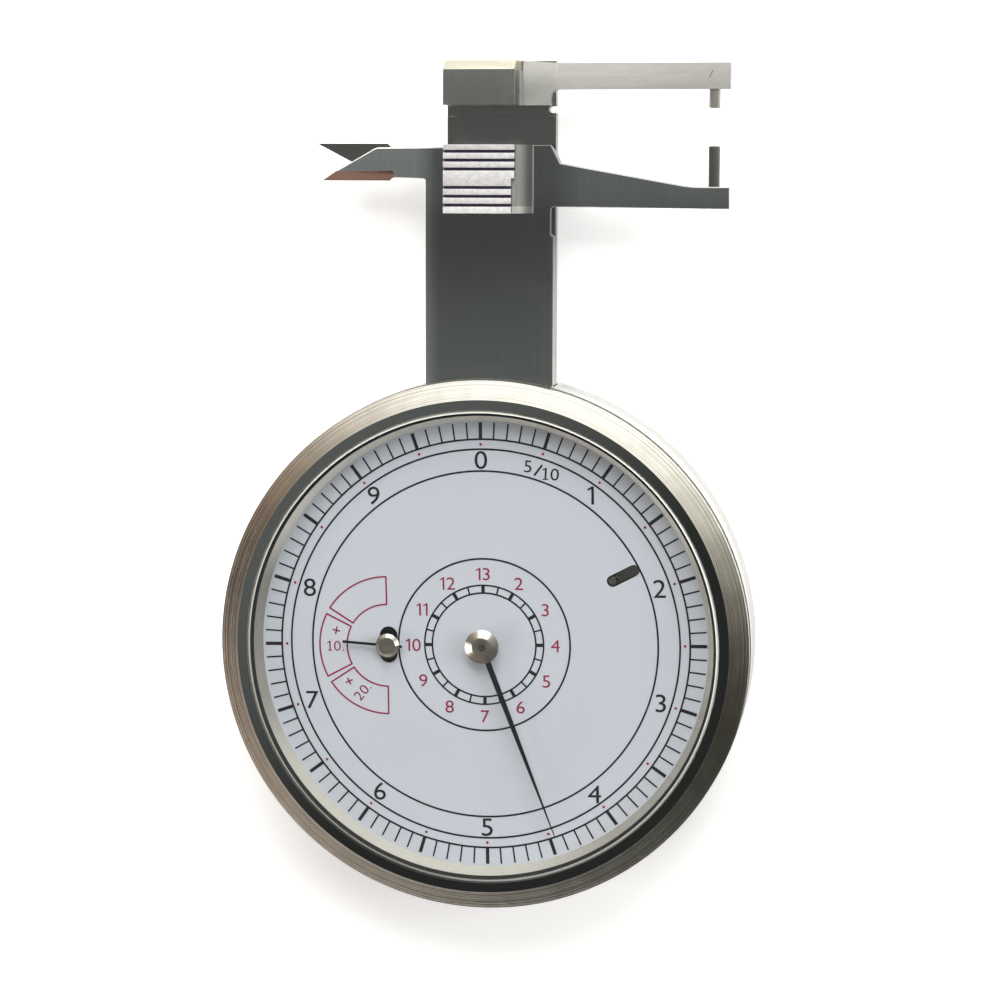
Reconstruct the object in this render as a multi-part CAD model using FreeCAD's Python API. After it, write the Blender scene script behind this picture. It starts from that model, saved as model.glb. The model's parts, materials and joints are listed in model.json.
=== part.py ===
"""Dial gauge for gemstones: a round dial case with a flat stem, a fixed head and a thumb slide.

The gauge lies on its back. +Z points out of the dial, +Y runs along the stem and +X is to the
right of the dial. The origin is the centre of the case's back face. Millimetres throughout.
The slide is stored 4.5 mm open, which is what the main hand reads.
"""

import FreeCAD, Part
import os
from math import acos, cos, degrees, hypot, pi, radians, sin, tan

os.makedirs("parts", exist_ok=True)

V = FreeCAD.Vector

# What the gauge reads at rest and how far the slide travels
READING = 4.5
MAX_READING = 24.0
TURN_TRAVEL = 10.0
OPENING_LEFT = MAX_READING - READING

# Clearances
SLIDE_GAP = 0.03
SIDE_GAP = 0.05
RUNNING_GAP = 0.02
SEAT_GAP = 0.01
WINDOW_GAP = 0.2

# Case; its bore, seat and spigot follow from its radius
CASE_R = 32.5
SPIGOT_STEP = 0.9
SPIGOT_WALL = 1.1
LEDGE_W = 3.1
CASE_SPIGOT_R = CASE_R - SPIGOT_STEP
CASE_SEAT_R = CASE_SPIGOT_R - SPIGOT_WALL
CASE_BORE_R = CASE_SEAT_R - LEDGE_W
CASE_SPIGOT_H = 1.3
CASE_EDGE = 0.6
FLOOR_T = 1.2

# Levels of the movement, from the back
BEAM_Z = 3.1
BEAM_T = 1.8
SLIDE_T = 1.9
RACK_T = 0.9
RACK_TO_PLATE = 0.17
PLATE_T = 0.8
PLATE_TO_WHEEL = 0.2
WHEEL_T = 0.4
DIAL_T = 0.4
DIAL_RING_H = 1.17
DIAL_PLAY = 0.03
SLIDE_Z = BEAM_Z + BEAM_T + SLIDE_GAP
SLIDE_FRONT = SLIDE_Z + SLIDE_T
PLATE_Z = SLIDE_FRONT + RACK_T + RACK_TO_PLATE
PLATE_TOP = PLATE_Z + PLATE_T
WHEEL_Z = PLATE_TOP + PLATE_TO_WHEEL
DIAL_Z = PLATE_TOP + DIAL_RING_H + DIAL_PLAY
DIAL_TOP = DIAL_Z + DIAL_T
SPIGOT_RISE = 0.6
CASE_SHOULDER_Z = DIAL_TOP + SPIGOT_RISE - CASE_SPIGOT_H

# Bezel and crystal
BEZEL_SET_IN = 0.1
BEZEL_CONE_W = 2.3
BEZEL_LAND_W = 1.2
BEZEL_EDGE_H = 1.3
BEZEL_LAND_H = 2.8
BEZEL_R = CASE_R - BEZEL_SET_IN
BEZEL_LAND_R = BEZEL_R - BEZEL_CONE_W
CRYSTAL_R = BEZEL_LAND_R - BEZEL_LAND_W
CRYSTAL_T = 0.8
CRYSTAL_BEVEL = 0.35
CRYSTAL_SINK = 0.05
GASKET_T = 0.12
GASKET_W = 0.7
WALL_FOOT_W = 3.05
WALL_FOOT_R = CASE_SEAT_R - WALL_FOOT_W
LAND_Z = DIAL_TOP + BEZEL_LAND_H
CRYSTAL_Z = LAND_Z - CRYSTAL_SINK - CRYSTAL_T
SHELF_Z = CRYSTAL_Z - GASKET_T

# Dial
DIAL_EDGE_GAP = 0.3
DIAL_RING_W = 2.8
DIAL_R = CASE_SEAT_R - DIAL_EDGE_GAP
DIAL_RING_R = CASE_SEAT_R - DIAL_RING_W
DIAL_HOLE_R = 1.5
DIAL_TWIST = 1.1

# Stem: the fixed beam and its foot inside the case
SLIDE_HALF_W = 7.87
STEM_LEFT = -5.42
STEM_RIGHT = SLIDE_HALF_W + 0.02
HEAD_TOP = 70.65
HEAD_H = 5.35
HEAD_BOTTOM = HEAD_TOP - HEAD_H
GUIDE_W = 4.7
FOOT_GAP = 1.05
FOOT_HALF_W = SLIDE_HALF_W + GUIDE_W
FOOT_TOP = ((CASE_BORE_R - FOOT_GAP) ** 2 - FOOT_HALF_W ** 2) ** 0.5
FOOT_BOTTOM = -14.0
FOOT_CORNER_R = 2.0
RELIEF_H = 0.84
RELIEF_DEPTH = 0.88
RELIEF_DROP = 0.04
RELIEF_Y = HEAD_BOTTOM - RELIEF_DROP - RELIEF_H
STEP_H = 1.25
STEP_DEPTH = 0.1

# Knife jaws for inside sizes
JAW_TIP_X = -20.9
JAW_EDGE_Y = 60.75
JAW_HEIGHT = 4.0
JAW_SLOPE_END_X = -13.9
JAW_SLOPE_R = 1.5
JAW_RELIEF_X = -12.55
JAW_RELIEF = 0.34
REAR_JAW_TIP_X = JAW_TIP_X - 0.7
REAR_JAW_RELIEF_X = JAW_RELIEF_X - 0.3
REAR_JAW_RELIEF = 0.62
JAW_ROOT_DROP = 0.11
JAW_ROOT_R = 0.3
JAW_BEVEL_H = 1.2
JAW_BEVEL_END = 0.85
JAW_BEVEL_LEFT = 0.35

# Outside arms and their pins
ARM_REACH = 29.05
ARM_DROP = 0.3
ARM_H = 3.12
ARM_TOP = HEAD_TOP - ARM_DROP
ARM_BOTTOM = ARM_TOP - ARM_H
ARM_ROOT_X = STEM_RIGHT - 0.48
ARM_STEP_X = STEM_RIGHT + 0.38
ARM_STEP = 0.08
ARM_FILLET_R = 1.1
PIN_R = 0.68
PIN_FROM_END = 1.9
PIN_X = ARM_REACH - PIN_FROM_END
UPPER_PIN_LENGTH = 2.28
UPPER_TIP_Y = ARM_BOTTOM - UPPER_PIN_LENGTH
LOWER_TIP_Y = UPPER_TIP_Y - READING
LOWER_PIN_LENGTH = 4.84
PIN_SEAT = 1.6
PIN_EDGE = 0.12
LOWER_ARM_H = 2.67
LOWER_ARM_TOP = LOWER_TIP_Y - LOWER_PIN_LENGTH
LOWER_ARM_BOTTOM = LOWER_ARM_TOP - LOWER_ARM_H
LOWER_ARM_BEND_X = 24.4
LOWER_ARM_BEND_R = 12.0

# Slide
SLIDE_TOP = JAW_EDGE_Y - READING + JAW_HEIGHT + 0.35
SLIDE_SHOULDER_Y = SLIDE_TOP - 0.3
SHOULDER_SET_IN = 0.3
SHOULDER_OUT = 0.8
SHOULDER_DROP = 2.2
TAIL_GAP = 1.7
SLIDE_TAIL = OPENING_LEFT + TAIL_GAP - CASE_BORE_R
SLIDE_TAIL_R = 4.0
SLOT_HALF_W = 1.25
SIDE_RELIEF = 0.35
SIDE_RELIEF_H = 3.2
SIDE_RELIEF_R = 0.4
ARM_ROOT_RISE = 0.19
EDGE_CHAMFER = 0.12

# Raised pads: the thumb grip on the slide and the block on the head
PAD_H = 2.6
PAD_LEFT = -5.23
PAD_RIGHT = 3.45
PAD_FILLET_R = 2.0
PAD_FEATHER = 0.12
GRIP_H = 8.25
GRIP_BOTTOM = SLIDE_TOP - GRIP_H
GRIP_MIDDLE = GRIP_BOTTOM + GRIP_H / 2 + 0.07
GRIP_STEP_X = 3.05
GRIP_LIP_H = 0.95
GRIP_LIP = 0.18
GRIP_STEP_H = 0.48
GRIP_LAND = 1.8
RIDGE_W = 0.66
GROOVE_W = 0.4
GROOVE_DEPTH = 0.45
GROOVE_DRAFT = 0.1
BLOCK_CHAMFER = 1.1

# Guides
GUIDE_LIP = 0.9
GUIDE_TOP_GAP = 0.03
GUIDE_LIP_T = 0.7
GUIDE_END_GAP = 0.2
GUIDE_BOTTOM = FOOT_BOTTOM + GUIDE_END_GAP
GUIDE_TOP = FOOT_TOP - GUIDE_END_GAP
BRAKE_T = 0.2
BRAKE_LENGTH = 12.0
BRAKE_FROM_TOP = 10.0
BRAKE_Y = (GUIDE_TOP - BRAKE_FROM_TOP - BRAKE_LENGTH, GUIDE_TOP - BRAKE_FROM_TOP)
BRAKE_POCKET = 1.1
BRAKE_W = 1.2

# Screws and rivets
FRAME_SCREW_R = 0.8
FRAME_HEAD_R = 1.4
FRAME_HEAD_H = 0.9
FRAME_SCREW_INSET = 2.1
FRAME_SCREW_END = 5.1
FRAME_SCREW_X = FOOT_HALF_W - FRAME_SCREW_INSET
FRAME_SCREW_Y = (FOOT_BOTTOM + FRAME_SCREW_END, FOOT_TOP - FRAME_SCREW_END)
BOSS_R = 2.2
PLATE_SCREW_R = 0.6
PLATE_HEAD_R = 1.1
PLATE_SCREW_AT_R = (CASE_SEAT_R + DIAL_RING_R) / 2
PLATE_SCREWS = 3
SCREW_BITE = 2.2
RACK_SCREW_R = 0.5
RACK_HEAD_R = 0.9
RACK_SCREW_X = 3.5
RACK_SCREW_Y = (0.5, 16.0)
RIVET_R = 0.8
RIVET_X = (-3.0, 1.0)
DRIVE_SLOT_W = 0.3
DRIVE_SLOT_DEPTH = 0.35

# Gearing: one turn of the centre arbor for each TURN_TRAVEL of the slide
PRESSURE_ANGLE = radians(20)
RACK_TEETH_ON_PINION = 16
RACK_MODULE = TURN_TRAVEL / pi / RACK_TEETH_ON_PINION
RACK_PITCH_R = RACK_MODULE * RACK_TEETH_ON_PINION / 2
RACK_RIGHT = 4.7
RACK_SPARE = 1.3
MOTION_MODULE = 0.28
MOTION_PINION_TEETH = 12
MOTION_WHEEL_TEETH = 72
MOTION_DISTANCE = MOTION_MODULE * (MOTION_PINION_TEETH + MOTION_WHEEL_TEETH) / 2
ADDENDUM = 0.8
DEDENDUM = 1.15
TOOTH_GAP = 0.03
WHEEL_SPOKES = 4
WHEEL_RIM_W = 1.6
WHEEL_HUB_R = 2.2
SPOKE_W = 1.1
TRAIN_SIDE_GAP = 0.07

# Arbors, hands and hubs
ARBOR_R = 0.6
PIVOT_R = 0.45
COLLAR_R = 0.95
COLLAR_H = 0.8
BUSH_WALL = 0.5
HAND_T = 0.12
MAIN_HAND_RISE = 1.2
MAIN_HAND_Z = DIAL_TOP + MAIN_HAND_RISE
HAND_TIP_GAP = 0.75
MAIN_HAND_TIP = WALL_FOOT_R - HAND_TIP_GAP
MAIN_HAND_ROOT_W = 0.66
MAIN_HAND_TIP_W = 0.16
MAIN_HAND_CLOCK = READING / TURN_TRAVEL * 360 - DIAL_TWIST
MAIN_HUB_R = 2.07
MAIN_HUB_TOP_R = 1.15
MAIN_HUB_H = 0.45
HUB_EDGE_H = 0.1
HUB_RIM_W = 0.2
HUB_DISH = 0.1
HUB_HOLE_R = 0.42
COLLET_R = 1.15
HUB_LIFT = 0.35
RIVET_END_R = 0.3
SMALL_HAND_RISE = 0.65
SMALL_HAND_Z = DIAL_TOP + SMALL_HAND_RISE
SMALL_HAND_LENGTH = 5.6
SMALL_HAND_TAIL = 1.8
SMALL_HAND_W = 0.32
SMALL_HAND_ANGLE = 176.4
SMALL_HUB_R = 1.46
SMALL_HUB_TOP_R = 0.85
SMALL_HUB_DIMPLE_R = 0.28
SMALL_HUB_H = 0.4
STUD_R = 0.5
PIPE_R = 0.95
COUNTER_AT = (
    MOTION_DISTANCE * cos(radians(180 + DIAL_TWIST)),
    MOTION_DISTANCE * sin(radians(180 + DIAL_TWIST)),
)

# Zero setting: an eccentric pin in a radial slot of the dial
SETTER_ANGLE = 27.6
SETTER_PIN_AT = 17.8
SETTER_THROW_R = 1.43
SETTER_PIN_R = 0.5
SETTER_PIN_SINK = 0.05
SETTER_R = 1.5
SETTER_JOURNAL_R = 2.05
SETTER_SHOULDER_R = 2.4
SETTER_SHOULDER_H = 0.7
SETTER_SINK = 0.15
SETTER_DRIVE_W = 0.6
SETTER_SLOT_R = 0.72
COUNTER_SLOT_R = 1.12
COUNTER_SLOT_L = 4.5


def polar(radius, angle):
    """Point at a radius and an angle in degrees, counted from +X towards +Y."""
    return radius * cos(radians(angle)), radius * sin(radians(angle))


def box(x, y, z):
    """Box between pairs of coordinates along each axis."""
    return Part.makeBox(x[1] - x[0], y[1] - y[0], z[1] - z[0], V(x[0], y[0], z[0]))


def cylinder(radius, z0, z1, at=(0, 0)):
    """Upright cylinder between two heights."""
    return Part.makeCylinder(radius, z1 - z0, V(at[0], at[1], z0))


def ring(outer, inner, z0, z1, at=(0, 0)):
    """Upright tube between two heights."""
    return cylinder(outer, z0, z1, at).cut(cylinder(inner, z0, z1, at))


def turned(profile, at=(0, 0)):
    """Solid of revolution from (radius, height) corners about a vertical axis."""
    points = [V(at[0] + r, at[1], z) for r, z in profile]
    face = Part.Face(Part.makePolygon(points + points[:1]))
    return face.revolve(V(at[0], at[1], 0), V(0, 0, 1), 360)


def corner_arc(before, corner, after, radius):
    """Tangent points and middle of the arc that rounds one corner."""
    u = (before - corner).normalize()
    v = (after - corner).normalize()
    half = acos(max(-1.0, min(1.0, u.dot(v)))) / 2
    reach = radius / tan(half)
    middle = corner + (u + v).normalize() * (radius / sin(half) - radius)
    return corner + u * reach, middle, corner + v * reach


def outline(corners):
    """Closed wire through (x, y) corners; a third number rounds that corner."""
    points = [V(c[0], c[1], 0) for c in corners]
    starts, ends, edges = [], [], []
    for i, corner in enumerate(corners):
        if len(corner) == 3 and corner[2] > 0:
            before, after = points[i - 1], points[(i + 1) % len(points)]
            first, middle, last = corner_arc(before, points[i], after, corner[2])
            edges.append(Part.Arc(first, middle, last).toShape())
            starts.append(first)
            ends.append(last)
        else:
            starts.append(points[i])
            ends.append(points[i])
    for i, end in enumerate(ends):
        start = starts[(i + 1) % len(starts)]
        if end.distanceToPoint(start) > 1e-6:
            edges.append(Part.LineSegment(end, start).toShape())
    return Part.Wire(Part.__sortEdges__(edges))


def prism(corners, z0, z1):
    """Outline in the XY plane raised between two heights."""
    solid = Part.Face(outline(corners)).extrude(V(0, 0, z1 - z0))
    solid.translate(V(0, 0, z0))
    return solid


def prism_along_y(corners, y0, y1):
    """Outline in the XZ plane carried from y0 to y1."""
    solid = prism(corners, -y1, -y0)
    solid.rotate(V(0, 0, 0), V(1, 0, 0), 90)
    return solid


def prism_along_x(corners, x0, x1):
    """Outline in the YZ plane carried from x0 to x1."""
    solid = prism(corners, x0, x1)
    solid.rotate(V(0, 0, 0), V(1, 1, 1), 120)
    return solid


def cylinder_y(radius, y0, y1, x, z):
    """Cylinder along Y."""
    return Part.makeCylinder(radius, y1 - y0, V(x, y0, z), V(0, 1, 0))


def rounded_slot(start, end, radius, z0, z1):
    """Slot with round ends between two centres."""
    length = hypot(end[0] - start[0], end[1] - start[1])
    slot = box((0, length), (-radius, radius), (z0, z1))
    slot = slot.fuse([cylinder(radius, z0, z1), cylinder(radius, z0, z1, (length, 0))])
    angle = degrees(acos((end[0] - start[0]) / length))
    slot.rotate(V(0, 0, 0), V(0, 0, 1), angle if end[1] >= start[1] else -angle)
    slot.translate(V(start[0], start[1], 0))
    return slot.removeSplitter()


def screw(shank_r, head_r, head_h, top, bottom, at):
    """Slotted screw with a straight head, standing upright."""
    body = cylinder(head_r, top - head_h, top, at).fuse(cylinder(shank_r, bottom, top - head_h, at))
    slot = box(
        (at[0] - head_r, at[0] + head_r),
        (at[1] - DRIVE_SLOT_W / 2, at[1] + DRIVE_SLOT_W / 2),
        (top - DRIVE_SLOT_DEPTH, top),
    )
    return body.cut(slot).removeSplitter()


def sunk_screw(shank_r, head_r, top, bottom, at):
    """Slotted screw with a conical head, flush with its seat."""
    head_h = head_r - shank_r
    head = Part.makeCone(shank_r, head_r, head_h, V(at[0], at[1], top - head_h))
    body = head.fuse(cylinder(shank_r, bottom, top - head_h, at))
    slot = box(
        (at[0] - head_r, at[0] + head_r),
        (at[1] - DRIVE_SLOT_W / 2, at[1] + DRIVE_SLOT_W / 2),
        (top - head_h / 2, top),
    )
    return body.cut(slot).removeSplitter()


def sunk_hole(shank_r, head_r, top, bottom, at):
    """Hole for a flush conical head and its shank, with the seat clearance."""
    wide, narrow = head_r + SEAT_GAP, shank_r + SEAT_GAP
    cone = Part.makeCone(narrow, wide, head_r - shank_r, V(at[0], at[1], top - head_r + shank_r))
    return cone.fuse(cylinder(narrow, bottom, top, at))


def save(name, shape):
    """Write one node as parts/NAME.step."""
    shape.exportStep("parts/%s.step" % name)
    print(name, len(shape.Solids), "solids, volume %.2f" % shape.Volume, "valid", shape.isValid())


def save_group(name, shapes):
    """Write several separate solids as one node."""
    save(name, Part.makeCompound(shapes))


def frame_screw_places():
    """Centres of the screws that hold the guides and the beam's foot."""
    return [(side * FRAME_SCREW_X, y) for side in (-1, 1) for y in FRAME_SCREW_Y]


def plate_screw_places():
    """Centres of the screws through the dial ring and the movement plate."""
    return [polar(PLATE_SCREW_AT_R, 30 + 360 / PLATE_SCREWS * i) for i in range(PLATE_SCREWS)]


def setter_place():
    """Axis of the zero setter."""
    return polar(SETTER_PIN_AT + SETTER_THROW_R, SETTER_ANGLE)


def case_body():
    """Turned cup with bosses for the beam, a ledge for the movement and a window for the stem."""
    spigot_z = CASE_SHOULDER_Z + CASE_SPIGOT_H
    body = turned([
        (0, 0), (CASE_R - CASE_EDGE, 0), (CASE_R, CASE_EDGE), (CASE_R, CASE_SHOULDER_Z),
        (CASE_SPIGOT_R, CASE_SHOULDER_Z), (CASE_SPIGOT_R, spigot_z), (CASE_SEAT_R, spigot_z),
        (CASE_SEAT_R, PLATE_Z), (CASE_BORE_R, PLATE_Z), (CASE_BORE_R, FLOOR_T), (0, FLOOR_T),
    ])
    window = box(
        (-SLIDE_HALF_W - WINDOW_GAP, SLIDE_HALF_W + WINDOW_GAP),
        (0, 2 * CASE_R),
        (BEAM_Z, SLIDE_FRONT + WINDOW_GAP),
    ).cut(cylinder(CASE_BORE_R - LEDGE_W / 3, BEAM_Z, SLIDE_FRONT + WINDOW_GAP))
    body = body.cut(window)
    for at in frame_screw_places():
        body = body.fuse(cylinder(BOSS_R, FLOOR_T - 0.2, BEAM_Z, at))
    for at in frame_screw_places():
        body = body.cut(cylinder(FRAME_SCREW_R + SEAT_GAP, BEAM_Z - SCREW_BITE, BEAM_Z, at))
    for at in plate_screw_places():
        body = body.cut(cylinder(PLATE_SCREW_R + SEAT_GAP, PLATE_Z - SCREW_BITE, PLATE_Z, at))
    body = body.cut(cylinder(SETTER_R + RUNNING_GAP, 0, FLOOR_T, setter_place()))
    return body.removeSplitter()


def bezel():
    """Turned ring that snaps over the case's spigot, with the cone, the land and the inner wall."""
    rim_z = DIAL_TOP + BEZEL_EDGE_H
    spigot_top = CASE_SHOULDER_Z + CASE_SPIGOT_H + RUNNING_GAP
    lip_z = DIAL_TOP + DIAL_PLAY
    return turned([
        (WALL_FOOT_R, lip_z), (CASE_SEAT_R - SEAT_GAP, lip_z), (CASE_SEAT_R - SEAT_GAP, spigot_top),
        (CASE_SPIGOT_R + SEAT_GAP, spigot_top), (CASE_SPIGOT_R + SEAT_GAP, CASE_SHOULDER_Z),
        (BEZEL_R, CASE_SHOULDER_Z), (BEZEL_R, rim_z), (BEZEL_LAND_R, LAND_Z),
        (CRYSTAL_R + SEAT_GAP, LAND_Z), (CRYSTAL_R + SEAT_GAP, SHELF_Z),
        (CRYSTAL_R - GASKET_W, SHELF_Z),
    ])


def crystal():
    """Flat glass with a bevelled front edge."""
    top = CRYSTAL_Z + CRYSTAL_T
    return turned([
        (0, CRYSTAL_Z), (CRYSTAL_R, CRYSTAL_Z), (CRYSTAL_R, top - CRYSTAL_BEVEL),
        (CRYSTAL_R - CRYSTAL_BEVEL, top), (0, top),
    ])


def crystal_gasket():
    """Flat ring under the crystal's edge."""
    return ring(CRYSTAL_R, CRYSTAL_R - GASKET_W, SHELF_Z, CRYSTAL_Z)


def dial():
    """Thin dial disc with its centre hole, the counter's slot and the zero setter's slot."""
    disc = cylinder(DIAL_R, DIAL_Z, DIAL_TOP)
    reach = COUNTER_SLOT_L / 2 - COUNTER_SLOT_R
    counter_slot = rounded_slot(
        (COUNTER_AT[0], COUNTER_AT[1] - reach), (COUNTER_AT[0], COUNTER_AT[1] + reach),
        COUNTER_SLOT_R, DIAL_Z, DIAL_TOP,
    )
    setter_slot = rounded_slot(
        polar(SETTER_PIN_AT, SETTER_ANGLE), polar(SETTER_PIN_AT + 2 * SETTER_THROW_R, SETTER_ANGLE),
        SETTER_SLOT_R, DIAL_Z, DIAL_TOP,
    )
    return disc.cut([cylinder(DIAL_HOLE_R, DIAL_Z, DIAL_TOP), counter_slot, setter_slot])


def dial_ring():
    """Ring that carries the dial above the movement plate."""
    body = ring(CASE_SEAT_R - SEAT_GAP, DIAL_RING_R, PLATE_TOP, PLATE_TOP + DIAL_RING_H)
    top = PLATE_TOP + DIAL_RING_H
    holes = [sunk_hole(PLATE_SCREW_R, PLATE_HEAD_R, top, PLATE_TOP, at) for at in plate_screw_places()]
    return body.cut(holes)


def plate_screws():
    """Screws through the dial ring and the movement plate into the case's ledge."""
    top, bottom = PLATE_TOP + DIAL_RING_H, PLATE_Z - SCREW_BITE + SEAT_GAP
    return [sunk_screw(PLATE_SCREW_R, PLATE_HEAD_R, top, bottom, at) for at in plate_screw_places()]


def movement_plate():
    """Disc between the slide and the dial that bears the arbors."""
    plate = cylinder(CASE_SEAT_R - SEAT_GAP, PLATE_Z, PLATE_TOP)
    holes = [cylinder(PLATE_SCREW_R + SEAT_GAP, PLATE_Z, PLATE_TOP, at) for at in plate_screw_places()]
    holes.append(cylinder(ARBOR_R + BUSH_WALL + SEAT_GAP, PLATE_Z, PLATE_TOP))
    holes.append(cylinder(STUD_R + SEAT_GAP, PLATE_Z, PLATE_TOP, COUNTER_AT))
    holes.append(cylinder(SETTER_JOURNAL_R + RUNNING_GAP, PLATE_Z, PLATE_TOP, setter_place()))
    return plate.cut(holes)


def jaw_corners(edge_y, up, root_x):
    """Outline of a pointed jaw from its root round the tip; up is +1 for the rear jaw, which faces +Y."""
    tip_x, end_x, depth = JAW_TIP_X, JAW_RELIEF_X, JAW_RELIEF
    if up > 0:
        tip_x, end_x, depth = REAR_JAW_TIP_X, REAR_JAW_RELIEF_X, REAR_JAW_RELIEF
    relief = edge_y - up * depth
    far = edge_y - up * JAW_HEIGHT
    return [
        (root_x, relief + up * JAW_ROOT_DROP, JAW_ROOT_R), (end_x + depth, relief),
        (end_x, edge_y), (tip_x, edge_y), (JAW_SLOPE_END_X, far, JAW_SLOPE_R),
    ]


def jaw_wedge(edge_y, up, thick_z, thin_z):
    """Cutter for the bevel along a jaw's measuring edge; the edge stays JAW_BEVEL_LEFT thick at thick_z."""
    keep = thick_z + JAW_BEVEL_LEFT * (1 if thin_z > thick_z else -1)
    shoulder = edge_y - up * JAW_BEVEL_H
    return prism_along_x(
        [(shoulder, thin_z), (edge_y + up, thin_z), (edge_y + up, keep), (edge_y, keep)],
        REAR_JAW_TIP_X - 1, JAW_RELIEF_X + JAW_BEVEL_END,
    )


def break_front_edges(solid, z):
    """Chamfer the edges of a plate's front face."""
    edges = [e for e in solid.Edges if all(abs(v.Z - z) < 1e-6 for v in e.Vertexes)]
    return solid.makeChamfer(EDGE_CHAMFER, edges)


def beam():
    """Fixed blade of the stem with its foot in the case and the rear knife jaw."""
    z0, z1 = BEAM_Z, BEAM_Z + BEAM_T
    body = prism([
        (-FOOT_HALF_W, FOOT_BOTTOM, FOOT_CORNER_R), (FOOT_HALF_W, FOOT_BOTTOM, FOOT_CORNER_R),
        (FOOT_HALF_W, FOOT_TOP, FOOT_CORNER_R), (STEM_RIGHT, FOOT_TOP, FOOT_CORNER_R / 2),
        (STEM_RIGHT, HEAD_TOP), (STEM_LEFT, HEAD_TOP), *jaw_corners(JAW_EDGE_Y, 1, STEM_LEFT),
        (STEM_LEFT, JAW_EDGE_Y - JAW_HEIGHT, JAW_ROOT_R),
        (STEM_LEFT, FOOT_TOP, FOOT_CORNER_R / 2), (-FOOT_HALF_W, FOOT_TOP, FOOT_CORNER_R),
    ], z0, z1)
    step = box((STEM_LEFT, STEM_RIGHT), (HEAD_BOTTOM - STEP_H, HEAD_BOTTOM), (z1 - STEP_DEPTH, z1))
    cuts = [step, jaw_wedge(JAW_EDGE_Y, 1, z1, z0)]
    cuts += [cylinder(FRAME_SCREW_R + SEAT_GAP, z0, z1, at) for at in frame_screw_places()]
    cuts.append(cylinder(PIVOT_R + BUSH_WALL + SEAT_GAP, z0, z1))
    half = RELIEF_H / 2
    middle = RELIEF_Y + half
    cuts.append(rounded_slot(
        (STEM_RIGHT - RELIEF_DEPTH + half, middle), (STEM_RIGHT + 1, middle), half, z0, z1))
    cuts += [cylinder(RIVET_R + SEAT_GAP, z0, z1, (x, head_rivet_y())) for x in RIVET_X]
    return body.cut(cuts).removeSplitter()


def head_rivet_y():
    """Height of the rivets that hold the head to the beam."""
    return (HEAD_TOP + HEAD_BOTTOM) / 2


def upper_arm():
    """Fixed flat arm on the beam's front with the seat of the upper pin."""
    z0 = BEAM_Z + BEAM_T
    z1 = SLIDE_FRONT
    left = PAD_LEFT + EDGE_CHAMFER
    arm = prism([
        (left, HEAD_BOTTOM), (ARM_ROOT_X, HEAD_BOTTOM),
        (ARM_ROOT_X, ARM_BOTTOM, ARM_FILLET_R), (ARM_REACH, ARM_BOTTOM), (ARM_REACH, ARM_TOP),
        (ARM_STEP_X, ARM_TOP), (PAD_RIGHT, HEAD_TOP), (left, HEAD_TOP),
    ], z0, z1)
    step = box((ARM_STEP_X, ARM_REACH), (ARM_BOTTOM, ARM_TOP), (z1 - ARM_STEP, z1))
    seat = cylinder_y(PIN_R + SEAT_GAP, ARM_BOTTOM, ARM_BOTTOM + PIN_SEAT, PIN_X, pin_z())
    rivets = [cylinder(RIVET_R + SEAT_GAP, z0, z1, (x, head_rivet_y())) for x in RIVET_X]
    return arm.cut([step, seat] + rivets)


def pin_z():
    """Height of the measuring pins' common axis."""
    return BEAM_Z + BEAM_T + (SLIDE_T + SLIDE_GAP) / 2


def measuring_pin(seat_end, tip):
    """Round pin with a small edge chamfer at its tip."""
    pin = cylinder_y(PIN_R, min(seat_end, tip), max(seat_end, tip), PIN_X, pin_z())
    edge = [e for e in pin.Edges if e.Closed and abs(e.CenterOfMass.y - tip) < 1e-6]
    return pin.makeChamfer(PIN_EDGE, edge)


def pad(y0, y1, z0):
    """Raised pad with a hollow side that runs out on the plate to its right."""
    block = box((PAD_LEFT, PAD_RIGHT), (y0, y1), (z0, z0 + PAD_H))
    return block.fuse(hollow_side(y0, y1, z0, 0)).removeSplitter()


def hollow_side(y0, y1, z0, lift):
    """Concave strip beside a pad, raised by lift."""
    height = PAD_FILLET_R + PAD_FEATHER + lift
    side = Part.makeBox(PAD_FILLET_R, y1 - y0, height, V(PAD_RIGHT, y0, z0))
    return side.cut(cylinder_y(PAD_FILLET_R, y0, y1, PAD_RIGHT + PAD_FILLET_R, z0 + height))


def top_block():
    """Block on the head, bevelled along its top edge."""
    z0 = SLIDE_FRONT
    top = z0 + PAD_H
    block = pad(HEAD_BOTTOM, HEAD_TOP, z0)
    bevel = prism_along_x([
        (HEAD_TOP - BLOCK_CHAMFER, top), (HEAD_TOP, top - BLOCK_CHAMFER / 2), (HEAD_TOP, top),
    ], PAD_LEFT, PAD_RIGHT)
    rivets = [
        cylinder(RIVET_R + SEAT_GAP, z0, z0 + PAD_H / 2, (x, head_rivet_y())) for x in RIVET_X
    ]
    return block.cut([bevel] + rivets)


def head_rivets():
    """Rivets from the beam's back into the block."""
    top = SLIDE_FRONT + PAD_H / 2 - SEAT_GAP
    return [cylinder(RIVET_R, BEAM_Z, top, (x, head_rivet_y())) for x in RIVET_X]


def groove_edges():
    """Lower and upper edge of each groove of the thumb grip, from the wide middle land outwards."""
    grooves = []
    step = RIDGE_W + GROOVE_W
    for i in range(3):
        low = GRIP_MIDDLE + GRIP_LAND / 2 + i * step
        grooves.append((low, low + GROOVE_W))
        high = GRIP_MIDDLE - GRIP_LAND / 2 - i * step
        grooves.append((high - GROOVE_W, high))
    return grooves


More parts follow.
